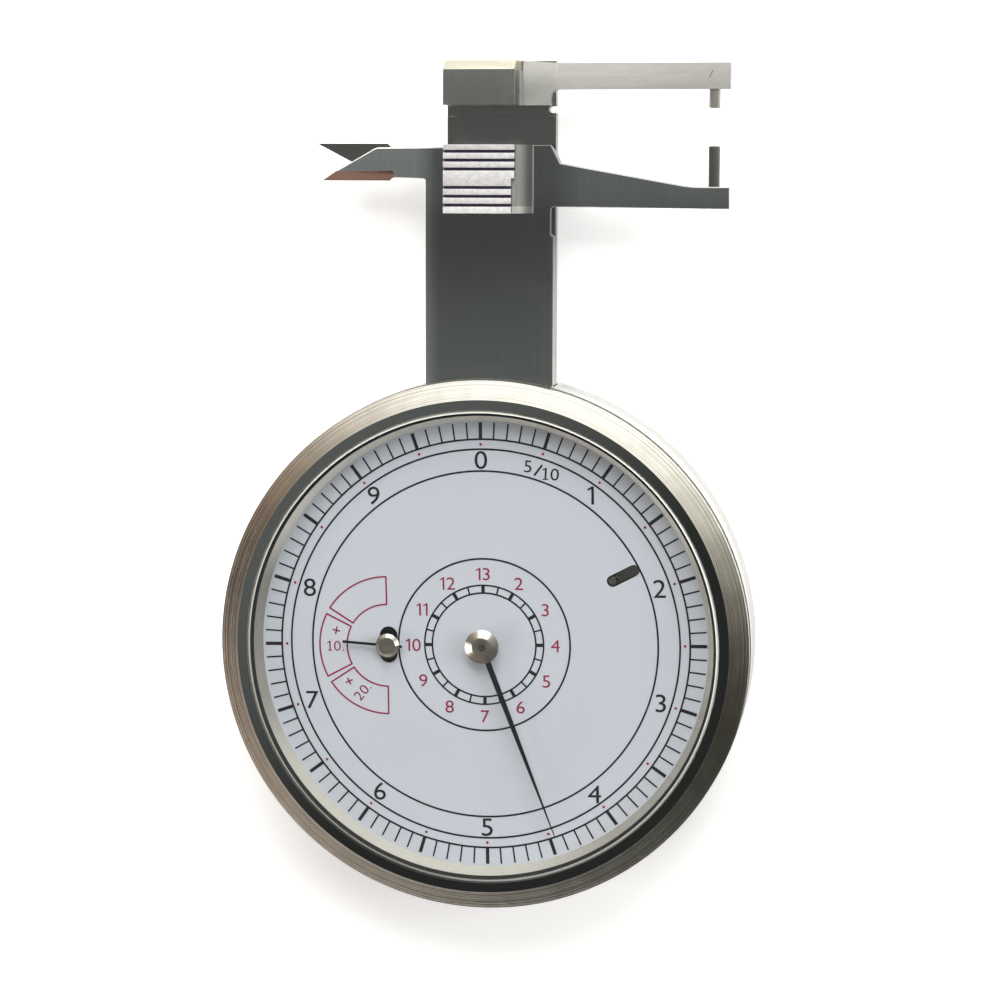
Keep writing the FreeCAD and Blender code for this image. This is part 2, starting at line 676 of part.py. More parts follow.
def thumb_grip():
    """Ridged pad that the thumb pushes, riveted on the slide."""
    z0 = SLIDE_FRONT
    top = z0 + PAD_H
    lip = hollow_side(GRIP_BOTTOM, GRIP_BOTTOM + GRIP_LIP_H, z0, GRIP_LIP)
    grip = pad(GRIP_BOTTOM, SLIDE_TOP, z0).fuse(lip)
    cuts = [box((GRIP_STEP_X, PAD_RIGHT + PAD_FILLET_R), (GRIP_BOTTOM, GRIP_MIDDLE), (top - GRIP_STEP_H, top))]
    for low, high in groove_edges():
        cuts.append(prism_along_x([
            (low, top), (low + GROOVE_DRAFT, top - GROOVE_DEPTH),
            (high - GROOVE_DRAFT, top - GROOVE_DEPTH), (high, top),
        ], PAD_LEFT, PAD_RIGHT))
    cuts += [cylinder(RIVET_R + SEAT_GAP, z0, z0 + PAD_H / 2, (x, GRIP_MIDDLE)) for x in RIVET_X]
    return grip.cut(cuts)


def grip_rivets():
    """Rivets from the slide's back into the thumb grip."""
    top = SLIDE_FRONT + PAD_H / 2 - SEAT_GAP
    return [cylinder(RIVET_R, SLIDE_Z, top, (x, GRIP_MIDDLE)) for x in RIVET_X]


def slide():
    """Moving front plate of the stem with the front knife jaw and the lower arm."""
    z0, z1 = SLIDE_Z, SLIDE_FRONT
    relief_x = SLIDE_HALF_W - SIDE_RELIEF
    arm_root = LOWER_ARM_BOTTOM + ARM_ROOT_RISE
    relief_y = arm_root - SIDE_RELIEF_H
    jaw_y = JAW_EDGE_Y - READING
    body = prism([
        (PAD_LEFT, SLIDE_SHOULDER_Y), (PAD_LEFT, SLIDE_TOP), (SLIDE_HALF_W - SHOULDER_SET_IN, SLIDE_TOP),
        (SLIDE_HALF_W + SHOULDER_OUT, SLIDE_TOP - SHOULDER_DROP),
        (LOWER_ARM_BEND_X, LOWER_ARM_TOP, LOWER_ARM_BEND_R),
        (ARM_REACH, LOWER_ARM_TOP), (ARM_REACH, LOWER_ARM_BOTTOM), (SLIDE_HALF_W + 0.5, arm_root),
        (relief_x, arm_root, SIDE_RELIEF_R), (relief_x, relief_y),
        (SLIDE_HALF_W, relief_y - SIDE_RELIEF), (SLIDE_HALF_W, SLIDE_TAIL, SLIDE_TAIL_R),
        (-SLIDE_HALF_W, SLIDE_TAIL, SLIDE_TAIL_R), *jaw_corners(jaw_y, -1, -SLIDE_HALF_W),
    ], z0, z1)
    body = break_front_edges(body, z1).cut(jaw_wedge(jaw_y, -1, z0, z1))
    slot_top = OPENING_LEFT + ARBOR_R + 2 * SIDE_RELIEF
    cuts = [rounded_slot((0, SLIDE_TAIL - 2 * SLOT_HALF_W), (0, slot_top), SLOT_HALF_W, z0, z1)]
    cuts.append(cylinder_y(PIN_R + SEAT_GAP, LOWER_ARM_TOP - PIN_SEAT, LOWER_ARM_TOP, PIN_X, pin_z()))
    cuts += [cylinder(RIVET_R + SEAT_GAP, z0, z1, (x, GRIP_MIDDLE)) for x in RIVET_X]
    cuts += [
        cylinder(RACK_SCREW_R + SEAT_GAP, z1 - SLIDE_T / 2, z1, (RACK_SCREW_X, y)) for y in RACK_SCREW_Y
    ]
    return body.cut(cuts).removeSplitter()


def guide(side):
    """Rail beside the slide with a lip over its edge; side is -1 on the left and 1 on the right."""
    z0 = BEAM_Z + BEAM_T
    lip_z = SLIDE_FRONT + GUIDE_TOP_GAP
    top = lip_z + GUIDE_LIP_T
    inner = SLIDE_HALF_W + SIDE_GAP
    lip = SLIDE_HALF_W - GUIDE_LIP
    rail = prism_along_y(
        [(inner, z0), (FOOT_HALF_W, z0), (FOOT_HALF_W, top), (lip, top), (lip, lip_z), (inner, lip_z)],
        GUIDE_BOTTOM, GUIDE_TOP,
    )
    rail = rail.common(cylinder(CASE_BORE_R - 0.3, z0, top))
    places = [(FRAME_SCREW_X, y) for y in FRAME_SCREW_Y]
    for at in places:
        rail = rail.cut(cylinder(FRAME_HEAD_R + SEAT_GAP, top - FRAME_HEAD_H - 0.1, top, at))
        rail = rail.cut(cylinder(FRAME_SCREW_R + SEAT_GAP, z0, top, at))
    if side < 0:
        rail = rail.mirror(V(0, 0, 0), V(1, 0, 0)).cut(brake_pocket())
    return rail.removeSplitter()


def brake_pocket():
    """Recess of the left guide that holds the brake spring."""
    middle = SLIDE_Z + SLIDE_T / 2
    inner = -SLIDE_HALF_W - SIDE_GAP
    return box((inner - BRAKE_POCKET, inner), BRAKE_Y, (middle - BRAKE_W / 2, middle + BRAKE_W / 2))


def brake_spring():
    """Bowed leaf that rubs on the slide's left edge and holds it where it is put."""
    middle = SLIDE_Z + SLIDE_T / 2
    inner = -SLIDE_HALF_W - SIDE_GAP
    y0, y1 = BRAKE_Y[0] + 0.3, BRAKE_Y[1] - 0.3
    back = inner - BRAKE_POCKET + 0.02
    front = -SLIDE_HALF_W - SLIDE_GAP
    centre_y = (y0 + y1) / 2
    outer = Part.Arc(V(back + BRAKE_T, y0, 0), V(front, centre_y, 0), V(back + BRAKE_T, y1, 0)).toShape()
    inner_arc = Part.Arc(V(back, y1, 0), V(front - BRAKE_T, centre_y, 0), V(back, y0, 0)).toShape()
    ends = [
        Part.LineSegment(V(back + BRAKE_T, y1, 0), V(back, y1, 0)).toShape(),
        Part.LineSegment(V(back, y0, 0), V(back + BRAKE_T, y0, 0)).toShape(),
    ]
    wire = Part.Wire(Part.__sortEdges__([outer, inner_arc] + ends))
    height = BRAKE_W - 0.1
    leaf = Part.Face(wire).extrude(V(0, 0, height))
    leaf.translate(V(0, 0, middle - height / 2))
    return leaf


def frame_screws():
    """Screws through the guides and the beam's foot into the case's bosses."""
    top = SLIDE_FRONT + GUIDE_TOP_GAP + GUIDE_LIP_T - 0.1
    bottom = BEAM_Z - SCREW_BITE + SEAT_GAP
    return [screw(FRAME_SCREW_R, FRAME_HEAD_R, FRAME_HEAD_H, top, bottom, at) for at in frame_screw_places()]


def tooth_half_angle(radius, pitch_r, teeth):
    """Half the angle that an involute tooth fills at a radius."""
    base_r = pitch_r * cos(PRESSURE_ANGLE)
    at = acos(min(1.0, base_r / max(radius, base_r)))
    rise = (tan(PRESSURE_ANGLE) - PRESSURE_ANGLE) - (tan(at) - at)
    return pi / 2 / teeth - TOOTH_GAP / 2 / pitch_r + rise


def gear_corners(teeth, module, first_angle):
    """Corners of a spur gear with one tooth centred on first_angle, in degrees."""
    pitch_r = module * teeth / 2
    root_r = pitch_r - DEDENDUM * module
    tip_r = pitch_r + ADDENDUM * module
    base_r = pitch_r * cos(PRESSURE_ANGLE)
    flank = [root_r, max(root_r + 0.02 * module, base_r), pitch_r, tip_r]
    corners = []
    for i in range(teeth):
        middle = radians(first_angle) + 2 * pi * i / teeth
        rising = [(r, middle - tooth_half_angle(r, pitch_r, teeth)) for r in flank]
        falling = [(r, middle + tooth_half_angle(r, pitch_r, teeth)) for r in reversed(flank)]
        corners += [(r * cos(a), r * sin(a)) for r, a in rising + falling]
    return corners


def gear(teeth, module, first_angle, bore_r, z0, z1, at=(0, 0)):
    """Spur gear with a plain bore."""
    blank = prism(gear_corners(teeth, module, first_angle), z0, z1)
    blank = blank.cut(cylinder(bore_r, z0, z1))
    blank.translate(V(at[0], at[1], 0))
    return blank


def rack():
    """Toothed bar on the slide that turns the centre arbor; a gap faces the arbor at rest."""
    pitch = pi * RACK_MODULE
    tip_x = RACK_PITCH_R - ADDENDUM * RACK_MODULE
    root_x = RACK_PITCH_R + DEDENDUM * RACK_MODULE
    bottom = -READING - RACK_SPARE
    top = OPENING_LEFT + RACK_SPARE
    corners = [(RACK_RIGHT, bottom), (RACK_RIGHT, top), (root_x, top)]
    first = int((top - pitch) / pitch)
    last = -int((-bottom - pitch) / pitch) - 1
    for k in range(first, last, -1):
        middle = (k + 0.5) * pitch
        if middle + pitch / 2 > top or middle - pitch / 2 < bottom:
            continue
        half = (pitch / 2 - TOOTH_GAP) / 2
        tip_half = half - ADDENDUM * RACK_MODULE * tan(PRESSURE_ANGLE)
        root_half = half + DEDENDUM * RACK_MODULE * tan(PRESSURE_ANGLE)
        corners += [
            (root_x, middle + root_half), (tip_x, middle + tip_half),
            (tip_x, middle - tip_half), (root_x, middle - root_half),
        ]
    corners.append((root_x, bottom))
    body = prism(corners, SLIDE_FRONT, SLIDE_FRONT + RACK_T)
    top_z = SLIDE_FRONT + RACK_T
    holes = [
        sunk_hole(RACK_SCREW_R, RACK_HEAD_R, top_z, SLIDE_FRONT, (RACK_SCREW_X, y)) for y in RACK_SCREW_Y
    ]
    return body.cut(holes)


def rack_screws():
    """Flush screws that hold the rack on the slide."""
    top, bottom = SLIDE_FRONT + RACK_T, SLIDE_FRONT - SLIDE_T / 2 + SEAT_GAP
    return [sunk_screw(RACK_SCREW_R, RACK_HEAD_R, top, bottom, (RACK_SCREW_X, y)) for y in RACK_SCREW_Y]


def lower_bush():
    """Bearing of the centre arbor in the beam."""
    return ring(PIVOT_R + BUSH_WALL, PIVOT_R + RUNNING_GAP, BEAM_Z, BEAM_Z + BEAM_T)


def upper_bush():
    """Bearing of the centre arbor in the movement plate."""
    return ring(ARBOR_R + BUSH_WALL, ARBOR_R + RUNNING_GAP, PLATE_Z, PLATE_TOP)


def centre_arbor():
    """Stepped shaft that carries both pinions and the main hand."""
    collar_z = BEAM_Z + BEAM_T + TRAIN_SIDE_GAP
    hub_z = MAIN_HAND_Z + HAND_T
    shaft = cylinder(PIVOT_R, BEAM_Z + SEAT_GAP, collar_z)
    shaft = shaft.fuse([
        cylinder(COLLAR_R, collar_z, collar_z + COLLAR_H),
        cylinder(ARBOR_R, collar_z + COLLAR_H, hub_z + MAIN_HUB_H / 2),
        cylinder(RIVET_END_R, hub_z + MAIN_HUB_H / 2, hub_z + MAIN_HUB_H + 0.04),
    ])
    return shaft.removeSplitter()


def rack_pinion():
    """Pinion on the centre arbor in mesh with the rack."""
    z0 = SLIDE_FRONT + TRAIN_SIDE_GAP
    return gear(RACK_TEETH_ON_PINION, RACK_MODULE, 0, ARBOR_R, z0, SLIDE_FRONT + RACK_T)


def motion_pinion():
    """Pinion on the centre arbor in mesh with the counter wheel."""
    return gear(
        MOTION_PINION_TEETH, MOTION_MODULE, 180 + DIAL_TWIST, ARBOR_R,
        WHEEL_Z - TRAIN_SIDE_GAP, WHEEL_Z + WHEEL_T + TRAIN_SIDE_GAP,
    )


def main_hand():
    """Long tapered hand for hundredths of a turn."""
    z0 = MAIN_HAND_Z
    hand = prism([
        (-MAIN_HAND_ROOT_W / 2, 0), (MAIN_HAND_ROOT_W / 2, 0),
        (MAIN_HAND_TIP_W / 2, MAIN_HAND_TIP), (-MAIN_HAND_TIP_W / 2, MAIN_HAND_TIP),
    ], z0, z0 + HAND_T)
    hand = hand.fuse(cylinder(COLLET_R + 0.5, z0, z0 + HAND_T))
    hand = hand.cut(cylinder(COLLET_R, z0, z0 + HAND_T)).removeSplitter()
    hand.rotate(V(0, 0, 0), V(0, 0, 1), -MAIN_HAND_CLOCK)
    return hand


def main_hub():
    """Conical collet with a dished top that presses the main hand on its arbor."""
    z1 = MAIN_HAND_Z + HAND_T
    step = z1 + MAIN_HUB_H / 2
    top = z1 + MAIN_HUB_H
    return turned([
        (ARBOR_R, DIAL_TOP + HUB_LIFT), (COLLET_R, DIAL_TOP + HUB_LIFT), (COLLET_R, z1),
        (MAIN_HUB_R, z1), (MAIN_HUB_R, z1 + HUB_EDGE_H), (MAIN_HUB_TOP_R, top),
        (MAIN_HUB_TOP_R - HUB_RIM_W, top), (HUB_HOLE_R, top - HUB_DISH), (HUB_HOLE_R, step),
        (ARBOR_R, step),
    ])


def counter_stud():
    """Fixed post on the movement plate that the counter wheel turns on."""
    return cylinder(STUD_R, PLATE_Z, SMALL_HAND_Z - 0.1, COUNTER_AT)


def counter_wheel():
    """Spoked wheel on a pipe; it makes a sixth of a turn for each turn of the centre arbor."""
    z0, z1 = WHEEL_Z, WHEEL_Z + WHEEL_T
    gap_first = DIAL_TWIST + 180 / MOTION_WHEEL_TEETH
    blank = prism(gear_corners(MOTION_WHEEL_TEETH, MOTION_MODULE, gap_first), z0, z1)
    rim_r = MOTION_MODULE * (MOTION_WHEEL_TEETH / 2 - DEDENDUM) - WHEEL_RIM_W
    web = ring(rim_r, WHEEL_HUB_R, z0, z1)
    spokes = [box((0, rim_r + 1), (-SPOKE_W / 2, SPOKE_W / 2), (z0, z1)) for _ in range(WHEEL_SPOKES)]
    for i, spoke in enumerate(spokes):
        spoke.rotate(V(0, 0, 0), V(0, 0, 1), 45 + 360 / WHEEL_SPOKES * i)
    wheel = blank.cut(web.cut(spokes))
    wheel = wheel.fuse(cylinder(PIPE_R, z0 - PLATE_TO_WHEEL + TRAIN_SIDE_GAP, SMALL_HAND_Z))
    wheel = wheel.cut(cylinder(STUD_R + RUNNING_GAP, PLATE_TOP, SMALL_HAND_Z)).removeSplitter()
    wheel.translate(V(COUNTER_AT[0], COUNTER_AT[1], 0))
    return wheel


def small_hand():
    """Short hand of the turn counter."""
    z0 = SMALL_HAND_Z
    hand = box((-SMALL_HAND_TAIL, SMALL_HAND_LENGTH), (-SMALL_HAND_W / 2, SMALL_HAND_W / 2), (z0, z0 + HAND_T))
    hand = hand.fuse(cylinder(SMALL_HUB_R - 0.2, z0, z0 + HAND_T)).removeSplitter()
    hand.rotate(V(0, 0, 0), V(0, 0, 1), SMALL_HAND_ANGLE)
    hand.translate(V(COUNTER_AT[0], COUNTER_AT[1], 0))
    return hand


def small_hub():
    """Conical cap that presses the short hand on the counter wheel's pipe."""
    z0 = SMALL_HAND_Z + HAND_T
    top = z0 + SMALL_HUB_H
    return turned([
        (0, z0), (SMALL_HUB_R, z0), (SMALL_HUB_R, z0 + HUB_EDGE_H), (SMALL_HUB_TOP_R, top),
        (SMALL_HUB_DIMPLE_R, top), (0, top - SMALL_HUB_DIMPLE_R / 2),
    ], COUNTER_AT)


def zero_setter():
    """Slotted shaft, turned from the back, whose eccentric pin shifts the dial."""
    at = setter_place()
    pin_at = polar(SETTER_PIN_AT, SETTER_ANGLE)
    shoulder_z = PLATE_Z - RUNNING_GAP - SETTER_SHOULDER_H
    shaft = cylinder(SETTER_R, SETTER_SINK, shoulder_z, at)
    shaft = shaft.fuse([
        cylinder(SETTER_SHOULDER_R, FLOOR_T + RUNNING_GAP, FLOOR_T + SETTER_SHOULDER_H, at),
        cylinder(SETTER_SHOULDER_R, shoulder_z, PLATE_Z - RUNNING_GAP, at),
        cylinder(SETTER_JOURNAL_R, PLATE_Z - RUNNING_GAP, PLATE_TOP, at),
        cylinder(SETTER_PIN_R, PLATE_TOP, DIAL_TOP - SETTER_PIN_SINK, pin_at),
    ])
    slot = box(
        (at[0] - SETTER_R, at[0] + SETTER_R),
        (at[1] - SETTER_DRIVE_W / 2, at[1] + SETTER_DRIVE_W / 2),
        (SETTER_SINK, SETTER_SINK + SETTER_DRIVE_W),
    )
    return shaft.cut(slot).removeSplitter()


def main():
    """Build every node."""
    save("case_body", case_body())
    save("bezel", bezel())
    save("crystal", crystal())
    save("crystal_gasket", crystal_gasket())
    save("dial", dial())
    save("dial_ring", dial_ring())
    save_group("plate_screws", plate_screws())
    save("movement_plate", movement_plate())
    save("beam", beam())
    save("upper_arm", upper_arm())
    save("upper_pin", measuring_pin(ARM_BOTTOM + PIN_SEAT - SEAT_GAP, UPPER_TIP_Y))
    save("top_block", top_block())
    save_group("head_rivets", head_rivets())
    save("slide", slide())
    save("lower_pin", measuring_pin(LOWER_ARM_TOP - PIN_SEAT + SEAT_GAP, LOWER_TIP_Y))
    save("thumb_grip", thumb_grip())
    save_group("grip_rivets", grip_rivets())
    save("left_guide", guide(-1))
    save("right_guide", guide(1))
    save("brake_spring", brake_spring())
    save_group("frame_screws", frame_screws())
    save("rack", rack())
    save_group("rack_screws", rack_screws())
    save("lower_bush", lower_bush())
    save("upper_bush", upper_bush())
    save("centre_arbor", centre_arbor())
    save("rack_pinion", rack_pinion())
    save("motion_pinion", motion_pinion())
    save("main_hand", main_hand())
    save("main_hub", main_hub())
    save("counter_stud", counter_stud())
    save("counter_wheel", counter_wheel())
    save("small_hand", small_hand())
    save("small_hub", small_hub())
    save("zero_setter", zero_setter())


main()
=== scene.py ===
"""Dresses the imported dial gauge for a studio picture.

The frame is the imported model's own: metres, +Z out of the dial, +Y along the stem, and the origin
at the centre of the case's back. Every size below is written in millimetres and turned by MM.
"""

from __future__ import annotations

import json
import logging
import math
from dataclasses import dataclass, field
from enum import Enum

import bpy
from mathutils import Matrix, Vector

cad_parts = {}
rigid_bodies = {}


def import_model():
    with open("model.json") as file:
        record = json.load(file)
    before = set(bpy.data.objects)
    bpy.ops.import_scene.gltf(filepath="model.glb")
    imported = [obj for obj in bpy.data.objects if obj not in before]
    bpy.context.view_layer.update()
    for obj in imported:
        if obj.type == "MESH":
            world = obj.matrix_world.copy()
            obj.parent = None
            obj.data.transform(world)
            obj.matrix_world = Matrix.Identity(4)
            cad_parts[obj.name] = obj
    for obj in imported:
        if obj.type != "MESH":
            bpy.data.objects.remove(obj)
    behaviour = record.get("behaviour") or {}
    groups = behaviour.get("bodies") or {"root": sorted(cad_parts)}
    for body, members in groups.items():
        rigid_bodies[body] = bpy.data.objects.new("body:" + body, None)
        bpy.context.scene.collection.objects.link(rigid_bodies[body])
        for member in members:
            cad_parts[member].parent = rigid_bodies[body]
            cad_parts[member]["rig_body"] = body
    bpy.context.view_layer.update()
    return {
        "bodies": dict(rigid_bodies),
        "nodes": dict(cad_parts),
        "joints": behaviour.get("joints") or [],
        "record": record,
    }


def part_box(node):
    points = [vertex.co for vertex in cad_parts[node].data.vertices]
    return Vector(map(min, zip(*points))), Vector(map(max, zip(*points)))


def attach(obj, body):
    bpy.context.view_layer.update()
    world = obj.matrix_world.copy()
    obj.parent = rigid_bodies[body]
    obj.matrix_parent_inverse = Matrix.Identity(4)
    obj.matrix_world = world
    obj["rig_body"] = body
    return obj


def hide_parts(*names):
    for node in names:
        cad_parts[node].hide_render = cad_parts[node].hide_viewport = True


MM = 0.001
PICTURE_SIDE = 1000
LOG = logging.getLogger("dial_gauge")

Colour = tuple[float, float, float]
Corner = tuple[float, float]


class Grain(Enum):
    """Direction of the fine lines that a tool left on a steel surface."""

    TURNED = "turned about the dial's axis"
    UPRIGHT = "drawn along the stem"
    LEVEL = "drawn across the stem"
    ROUGH = "blasted, with no direction"


class Ink(Enum):
    """Printing inks of the dial."""

    BLACK = "black"
    RED = "red"


def deselect_all() -> None:
    """Leave object mode with nothing selected."""
    if bpy.context.mode != "OBJECT":
        bpy.ops.object.mode_set(mode="OBJECT")
    bpy.ops.object.select_all(action="DESELECT")


def pick(piece: bpy.types.Object) -> None:
    """Select one object alone and make it active.

    Args:
        piece: The object to work on.
    """
    deselect_all()
    piece.select_set(True)
    bpy.context.view_layer.objects.active = piece


def named(name: str) -> bpy.types.Object:
    """Name the active object and its data.

    Args:
        name: Plain name of the piece.

    Returns:
        The active object.
    """
    piece = bpy.context.active_object
    piece.name = name
    piece.data.name = name
    return piece


def settle(piece: bpy.types.Object) -> None:
    """Move an object's place, turn and scale into its mesh."""
    pick(piece)
    bpy.ops.object.transform_apply(location=True, rotation=True, scale=True)


def smooth(piece: bpy.types.Object, angle: float = 30.0) -> None:
    """Shade a piece smooth up to an angle in degrees between its faces."""
    pick(piece)
    bpy.ops.object.shade_smooth_by_angle(angle=math.radians(angle))


def join(pieces: list[bpy.types.Object], name: str) -> bpy.types.Object:
    """Join several meshes into one piece.

    Args:
        pieces: Objects to join; the first one stays.
        name: Plain name of the joined piece.

    Returns:
        The joined object.
    """
    deselect_all()
    for piece in pieces:
        piece.select_set(True)
    bpy.context.view_layer.objects.active = pieces[0]
    if len(pieces) > 1:
        bpy.ops.object.join()
    return named(name)


def turned_copy(piece: bpy.types.Object, centre: Corner, degrees: float) -> bpy.types.Object:
    """Copy a piece with its own mesh, turned clockwise about an upright axis.

    Args:
        piece: The piece to repeat.
        centre: The axis as x and y in millimetres.
        degrees: Clockwise turn seen from the front.

    Returns:
        The new object, with its place in its mesh.
    """
    copy = piece.copy()
    copy.data = piece.data.copy()
    bpy.context.scene.collection.objects.link(copy)
    pivot = Matrix.Translation((centre[0] * MM, centre[1] * MM, 0))
    copy.data.transform(pivot @ Matrix.Rotation(-math.radians(degrees), 4, "Z") @ pivot.inverted())
    return copy


def lathe(name: str, profile: list[Corner], facets: int = 240) -> bpy.types.Object:
    """Turned ring, drawn as circles that are extruded from corner to corner of a closed profile.

    Args:
        name: Plain name of the piece.
        profile: Closed outline as radius and height in millimetres.
        facets: Number of sides of each circle.

    Returns:
        The ring, with its faces pointing outwards.
    """
    deselect_all()
    radius, height = profile[0]
    bpy.ops.mesh.primitive_circle_add(vertices=facets, radius=radius * MM, location=(0, 0, height * MM))
    piece = named(name)
    settle(piece)
    bpy.ops.object.mode_set(mode="EDIT")
    bpy.ops.mesh.select_all(action="SELECT")
    for next_radius, next_height in profile[1:] + profile[:1]:
        bpy.ops.mesh.extrude_edges_move()
        ratio = next_radius / radius
        bpy.ops.transform.resize(value=(ratio, ratio, 1), center_override=(0, 0, 0))
        bpy.ops.transform.translate(value=(0, 0, (next_height - height) * MM))
        radius, height = next_radius, next_height
    bpy.ops.mesh.select_all(action="SELECT")
    bpy.ops.mesh.remove_doubles(threshold=0.002 * MM)
    bpy.ops.mesh.normals_make_consistent(inside=False)
    bpy.ops.object.mode_set(mode="OBJECT")
    return piece


def finished_copy(node: bpy.types.Object, edge: float, segments: int = 2) -> bpy.types.Object:
    """Merged copy of a CAD node with its sharp edges rounded, to show instead of the node.

    Args:
        node: The CAD node's object.
        edge: Width of the rounding in millimetres.
        segments: Steps across the rounding.

    Returns:
        The copy, smooth shaded.
    """
    piece = bpy.data.objects.new(node.name + "_finished", node.data.copy())
    bpy.context.scene.collection.objects.link(piece)
    pick(piece)
    if piece.data.has_custom_normals:
        bpy.ops.mesh.customdata_custom_splitnormals_clear()
    bpy.ops.object.mode_set(mode="EDIT")
    bpy.ops.mesh.select_all(action="SELECT")
    bpy.ops.mesh.remove_doubles(threshold=0.0005 * MM)
    bpy.ops.mesh.dissolve_limited(angle_limit=math.radians(0.4))
    bpy.ops.object.mode_set(mode="OBJECT")
    if edge > 0:
        rounding = piece.modifiers.new("rounded_edges", "BEVEL")
        rounding.width = edge * MM
        rounding.segments = segments
        rounding.limit_method = "ANGLE"
        rounding.angle_limit = math.radians(24)
        rounding.use_clamp_overlap = True
        bpy.ops.object.modifier_apply(modifier=rounding.name)
    smooth(piece, 22)
    return piece


class Graph:
    """Adds nodes to a node tree from left to right and links them."""

    def __init__(self, tree: bpy.types.NodeTree) -> None:
        """Start with the tree as it is."""
        self.tree = tree
        self.column = 0

    def node(self, kind: str, **settings: object) -> bpy.types.Node:
        """Add a node.

        Args:
            kind: Blender's name of the node type.
            **settings: Attributes of the node.

        Returns:
            The new node.
        """
        made = self.tree.nodes.new(kind)
        made.location = (self.column * 180, 0)
        self.column += 1
        for key, value in settings.items():
            setattr(made, key, value)
        return made

    def feed(self, target: bpy.types.NodeSocket, value: object) -> None:
        """Link a socket to an input, or set the input to a constant."""
        if isinstance(value, bpy.types.NodeSocket):
            self.tree.links.new(value, target)
        elif value is not None:
            target.default_value = value

    def math(self, operation: str, *values: object, clamp: bool = False) -> bpy.types.NodeSocket:
        """Result of a Math node."""
        made = self.node("ShaderNodeMath", operation=operation, use_clamp=clamp)
        for target, value in zip(made.inputs, values):
            self.feed(target, value)
        return made.outputs[0]

    def vector(self, operation: str, *values: object) -> bpy.types.NodeSocket:
        """Result of a Vector Math node; its value output for lengths and dot products."""
        made = self.node("ShaderNodeVectorMath", operation=operation)
        for target, value in zip(made.inputs, values):
            self.feed(target, value)
        return made.outputs["Value" if operation in ("LENGTH", "DOT_PRODUCT") else "Vector"]

    def spread(
        self, value: object, start: float, end: float, low: object = 0.0, high: object = 1.0
    ) -> bpy.types.NodeSocket:
        """Value carried smoothly from low at start to high at end, and held beyond them."""
        made = self.node("ShaderNodeMapRange", interpolation_type="SMOOTHSTEP")
        for target, given in zip(made.inputs, (value, start, end, low, high)):
            self.feed(target, given)
        return made.outputs[0]

    def blend(self, share: object, first: object, second: object) -> bpy.types.NodeSocket:
        """Colour between two colours."""
        made = self.node("ShaderNodeMix", data_type="RGBA")
        self.feed(made.inputs["Factor"], share)
        self.feed(made.inputs[6], opaque(first))
        self.feed(made.inputs[7], opaque(second))
        return made.outputs[2]

    def parts(self, place: bpy.types.NodeSocket) -> tuple[bpy.types.NodeSocket, ...]:
        """The x, y and z of a place."""
        made = self.node("ShaderNodeSeparateXYZ")
        self.feed(made.inputs[0], place)
        return tuple(made.outputs)

    def scaled(self, colour: object, factor: object) -> bpy.types.NodeSocket:
        """Colour made lighter or darker by a factor."""
        made = self.node("ShaderNodeVectorMath", operation="SCALE")
        self.feed(made.inputs[0], colour)
        self.feed(made.inputs["Scale"], factor)
        return made.outputs[0]

    def noise(self, place: object, scale: float, detail: float, dimensions: str = "3D") -> bpy.types.NodeSocket:
        """Noise value at a place; in one dimension the place is a number."""
        made = self.node("ShaderNodeTexNoise", noise_dimensions=dimensions)
        self.feed(made.inputs["W" if dimensions == "1D" else "Vector"], place)
        self.feed(made.inputs["Scale"], scale)
        self.feed(made.inputs["Detail"], detail)
        return made.outputs["Fac"]

    def place(self) -> bpy.types.NodeSocket:
        """Object coordinates in millimetres."""
        made = self.node("ShaderNodeVectorMath", operation="SCALE")
        self.feed(made.inputs[0], self.node("ShaderNodeTexCoord").outputs["Object"])
        made.inputs["Scale"].default_value = 1 / MM
        return made.outputs[0]


def opaque(colour: object) -> object:
    """A plain colour with its alpha added; sockets pass unchanged."""
    if isinstance(colour, tuple) and len(colour) == 3:
        return (*colour, 1.0)
    return colour


